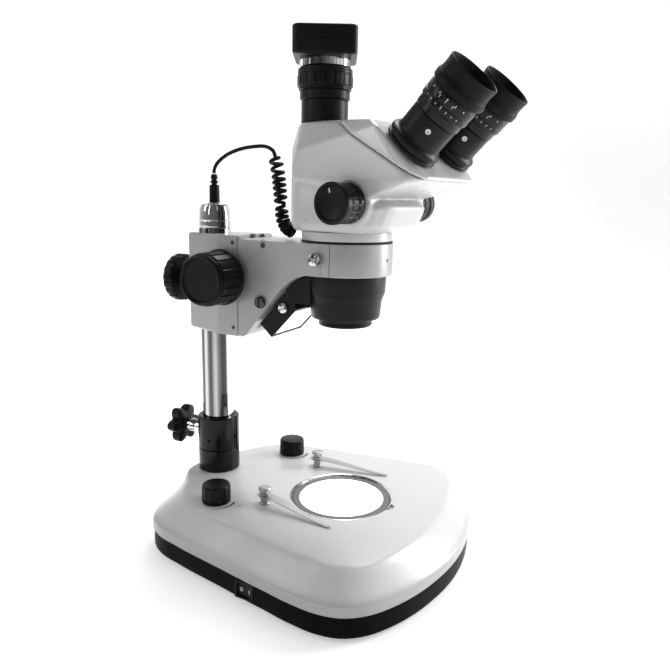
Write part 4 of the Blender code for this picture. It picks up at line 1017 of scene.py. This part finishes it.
def photo_port():
    """Photo tube, camera adapter and camera, which share the head's rear axis."""
    axis = place(0, TUBE_Y, 0, within=HEAD)
    port = [(17.2, TOWER_TOP - 6), (17.2, TOWER_TOP + 0.3), (20.7, TOWER_TOP + 0.3),
            *raised(TOP, [(20.7, 365.6), (20.3, 366.0), (20.3, 366.4), (15.0, 366.4)]), (15.0, TOWER_TOP - 6)]
    piece("photo_port", hollow(port, 112, 0.35), SATIN_BLACK, "head", axis, stands_for=["photo_tube"])
    ribs, per_rib = 18, 12
    count = ribs * per_rib
    sleeve = circles(raised(TOP, [(15.4, 366.7), (20.6, 366.7), (21.4, 367.1), (21.9, 367.7), (22.0, 368.4),
                                  (22.0, 373.6), (21.7, 374.1), (21.6, 374.5)]), count)
    sides = grip(raised(TOP, [(22.4, 0.0, 374.8), (23.1, 0.0, 375.2), (23.2, 0.0, 375.9), (22.8, 0.0, 376.2),
                              (22.8, 0.0, 376.5), (23.3, 0.0, 376.8), (23.4, 0.0, 377.7), (24.2, 0.4, 378.1),
                              (24.5, 1.2, 378.6), (24.5, 1.2, 386.6), (24.3, 0.5, 387.1), (23.6, 0.0, 387.5),
                              (23.5, 0.0, 388.1), (24.0, 0.0, 388.4), (24.1, 0.0, 390.0), (23.7, 0.0, 390.3),
                              (23.7, 0.0, 390.6), (24.0, 0.0, 390.9)]), ribs, 0.8, per_rib)
    lip = circles(raised(TOP, [(23.9, 392.3), (23.2, 393.0), (22.8, 393.2), (15.4, 393.2)]), count)
    piece("adapter_barrel", loft([*sleeve, *sides, *lip], closed=True), SATIN_BLACK, "adapter", axis,
          stands_for=["camera_adapter"], sharp=26)

    at = axis @ spin(-54.0)
    # (share of the outline, height) up the case, then (share, share of the rise) over its crown
    levels = [(0.60, 401.0), (0.94, 401.0), (0.975, 401.5), (0.995, 402.3), (1.0, 403.2), (1.0, 413.0),
              (0.985, 413.35), (0.985, 413.85), (1.0, 414.2), (1.0, 422.0), (0.994, 423.1), (0.975, 424.0)]
    crown = [(0.93, 0.30), (0.80, 0.62), (0.55, 0.88), (0.25, 1.0)]
    levels += [(share, 424.0 + 2.3 * rise) for share, rise in crown]
    outline = rounded_rect(27.5, -27.5, 27.5, 5.0, 8)
    rings = [[(x * f, y * f, TOP + z) for x, y in outline] for f, z in levels]
    piece("camera_case", loft(rings), SATIN_BLACK, "camera", at, stands_for=["camera_body"], sharp=20)
    flange = raised(TOP, [(17.0, 0.0, 393.5), (21.6, 0.3, 393.5), (22.3, 0.5, 394.1), (22.4, 0.5, 399.9),
                          (21.4, 0.2, 400.5), (21.2, 0.0, 401.4)])
    piece("camera_mount", loft(grip(flange, 40, 0.5, 8)), CHROME, "camera", at, sharp=26)


photo_port()


# --- CAD nodes that stay as they are ---

def carried_over():
    for node in ("foot_front_l", "foot_front_r", "foot_back_l", "foot_back_r"):
        dress(node, RUBBER, 0.4)
    dress("light_well", ANODISED)
    dress("light_window", OPAL_LIT)
    dress("lamp_board", BOARD)
    dress("power_rocker", KNOB_BLACK, 0.25)
    dress("power_inlet", ANODISED, 0.15)


carried_over()


# --- Studio ---

def area_light(name, position, target, size, power, size_y=None):
    data = bpy.data.lights.new(name, "AREA")
    data.energy = power
    data.size = size
    if size_y:
        data.shape = "RECTANGLE"
        data.size_y = size_y
    made = add_object(name, data)
    aim = Vector(target) - Vector(position)
    made.location = position
    made.rotation_euler = aim.to_track_quat("-Z", "Y").to_euler()


def sweep_wall():
    """A white paper sweep: the floor curves up into a wall a good way behind the stand."""
    floor_z, steps, radius, back = -5.0, 24, 900.0, 2600.0
    profile = [(-2200.0, floor_z), (back - radius, floor_z)]
    for i in range(1, steps + 1):
        a = math.radians(90 * i / steps)
        profile.append((back - radius + radius * math.sin(a), floor_z + radius - radius * math.cos(a)))
    profile.append((back, 3400.0))
    shape = bmesh.new()
    rows = [[shape.verts.new((across, y, z)) for y, z in profile] for across in (-4200.0, 4200.0)]
    for i in range(len(profile) - 1):
        shape.faces.new((rows[0][i], rows[0][i + 1], rows[1][i + 1], rows[1][i]))
    facing = Matrix.Rotation(math.radians(-62.67), 3, "Z")
    bmesh.ops.rotate(shape, cent=(0, 0, 0), matrix=facing, verts=shape.verts)
    made = to_object("paper_sweep", shape)
    made.data.shade_smooth()
    made.data.materials.append(surface("white_paper", (0.94, 0.94, 0.94), 0.85, grain=300, bump=0.02,
                                       vary=0.006, mottle=2, glow=0.44))


def studio():
    sweep_wall()
    world = bpy.data.worlds.new("studio")
    world.use_nodes = True
    tree = world.node_tree
    direction = node(tree, "TexCoord", {}).outputs["Generated"]
    # a soft pale surround, brighter towards the front and right of the stand
    glow = band_ramp(tree, direction, [(0.0, 0.32), (0.12, 0.32), (0.20, 0.9), (0.26, 2.0), (0.38, 2.0),
                                       (0.46, 1.3), (0.80, 1.0), (0.90, 0.5), (1.0, 0.32)])
    feed(tree, tree.nodes["Background"], {"Color": glow, "Strength": 0.44})
    bpy.context.scene.world = world
    bpy.context.scene.view_settings.view_transform = "Standard"

    area_light("top_panel", (0.75, 0.15, 1.6), (0.0, -0.02, 0.2), 0.7, 15.0)
    area_light("front_panel", (1.1, -1.25, 0.65), (0.0, 0.0, 0.32), 0.45, 23.0, 1.2)
    area_light("rim_panel", (-0.9, 1.0, 0.9), (0.0, 0.1, 0.25), 0.3, 3.0, 1.0)
    area_light("strip_left", (-1.0, 0.25, 0.75), (0.0, 0.1, 0.28), 0.04, 0.7, 0.8)
    area_light("strip_camera", (-0.65, -0.85, 1.0), (0.0, 0.0, 0.25), 0.04, 0.5, 0.7)


studio()
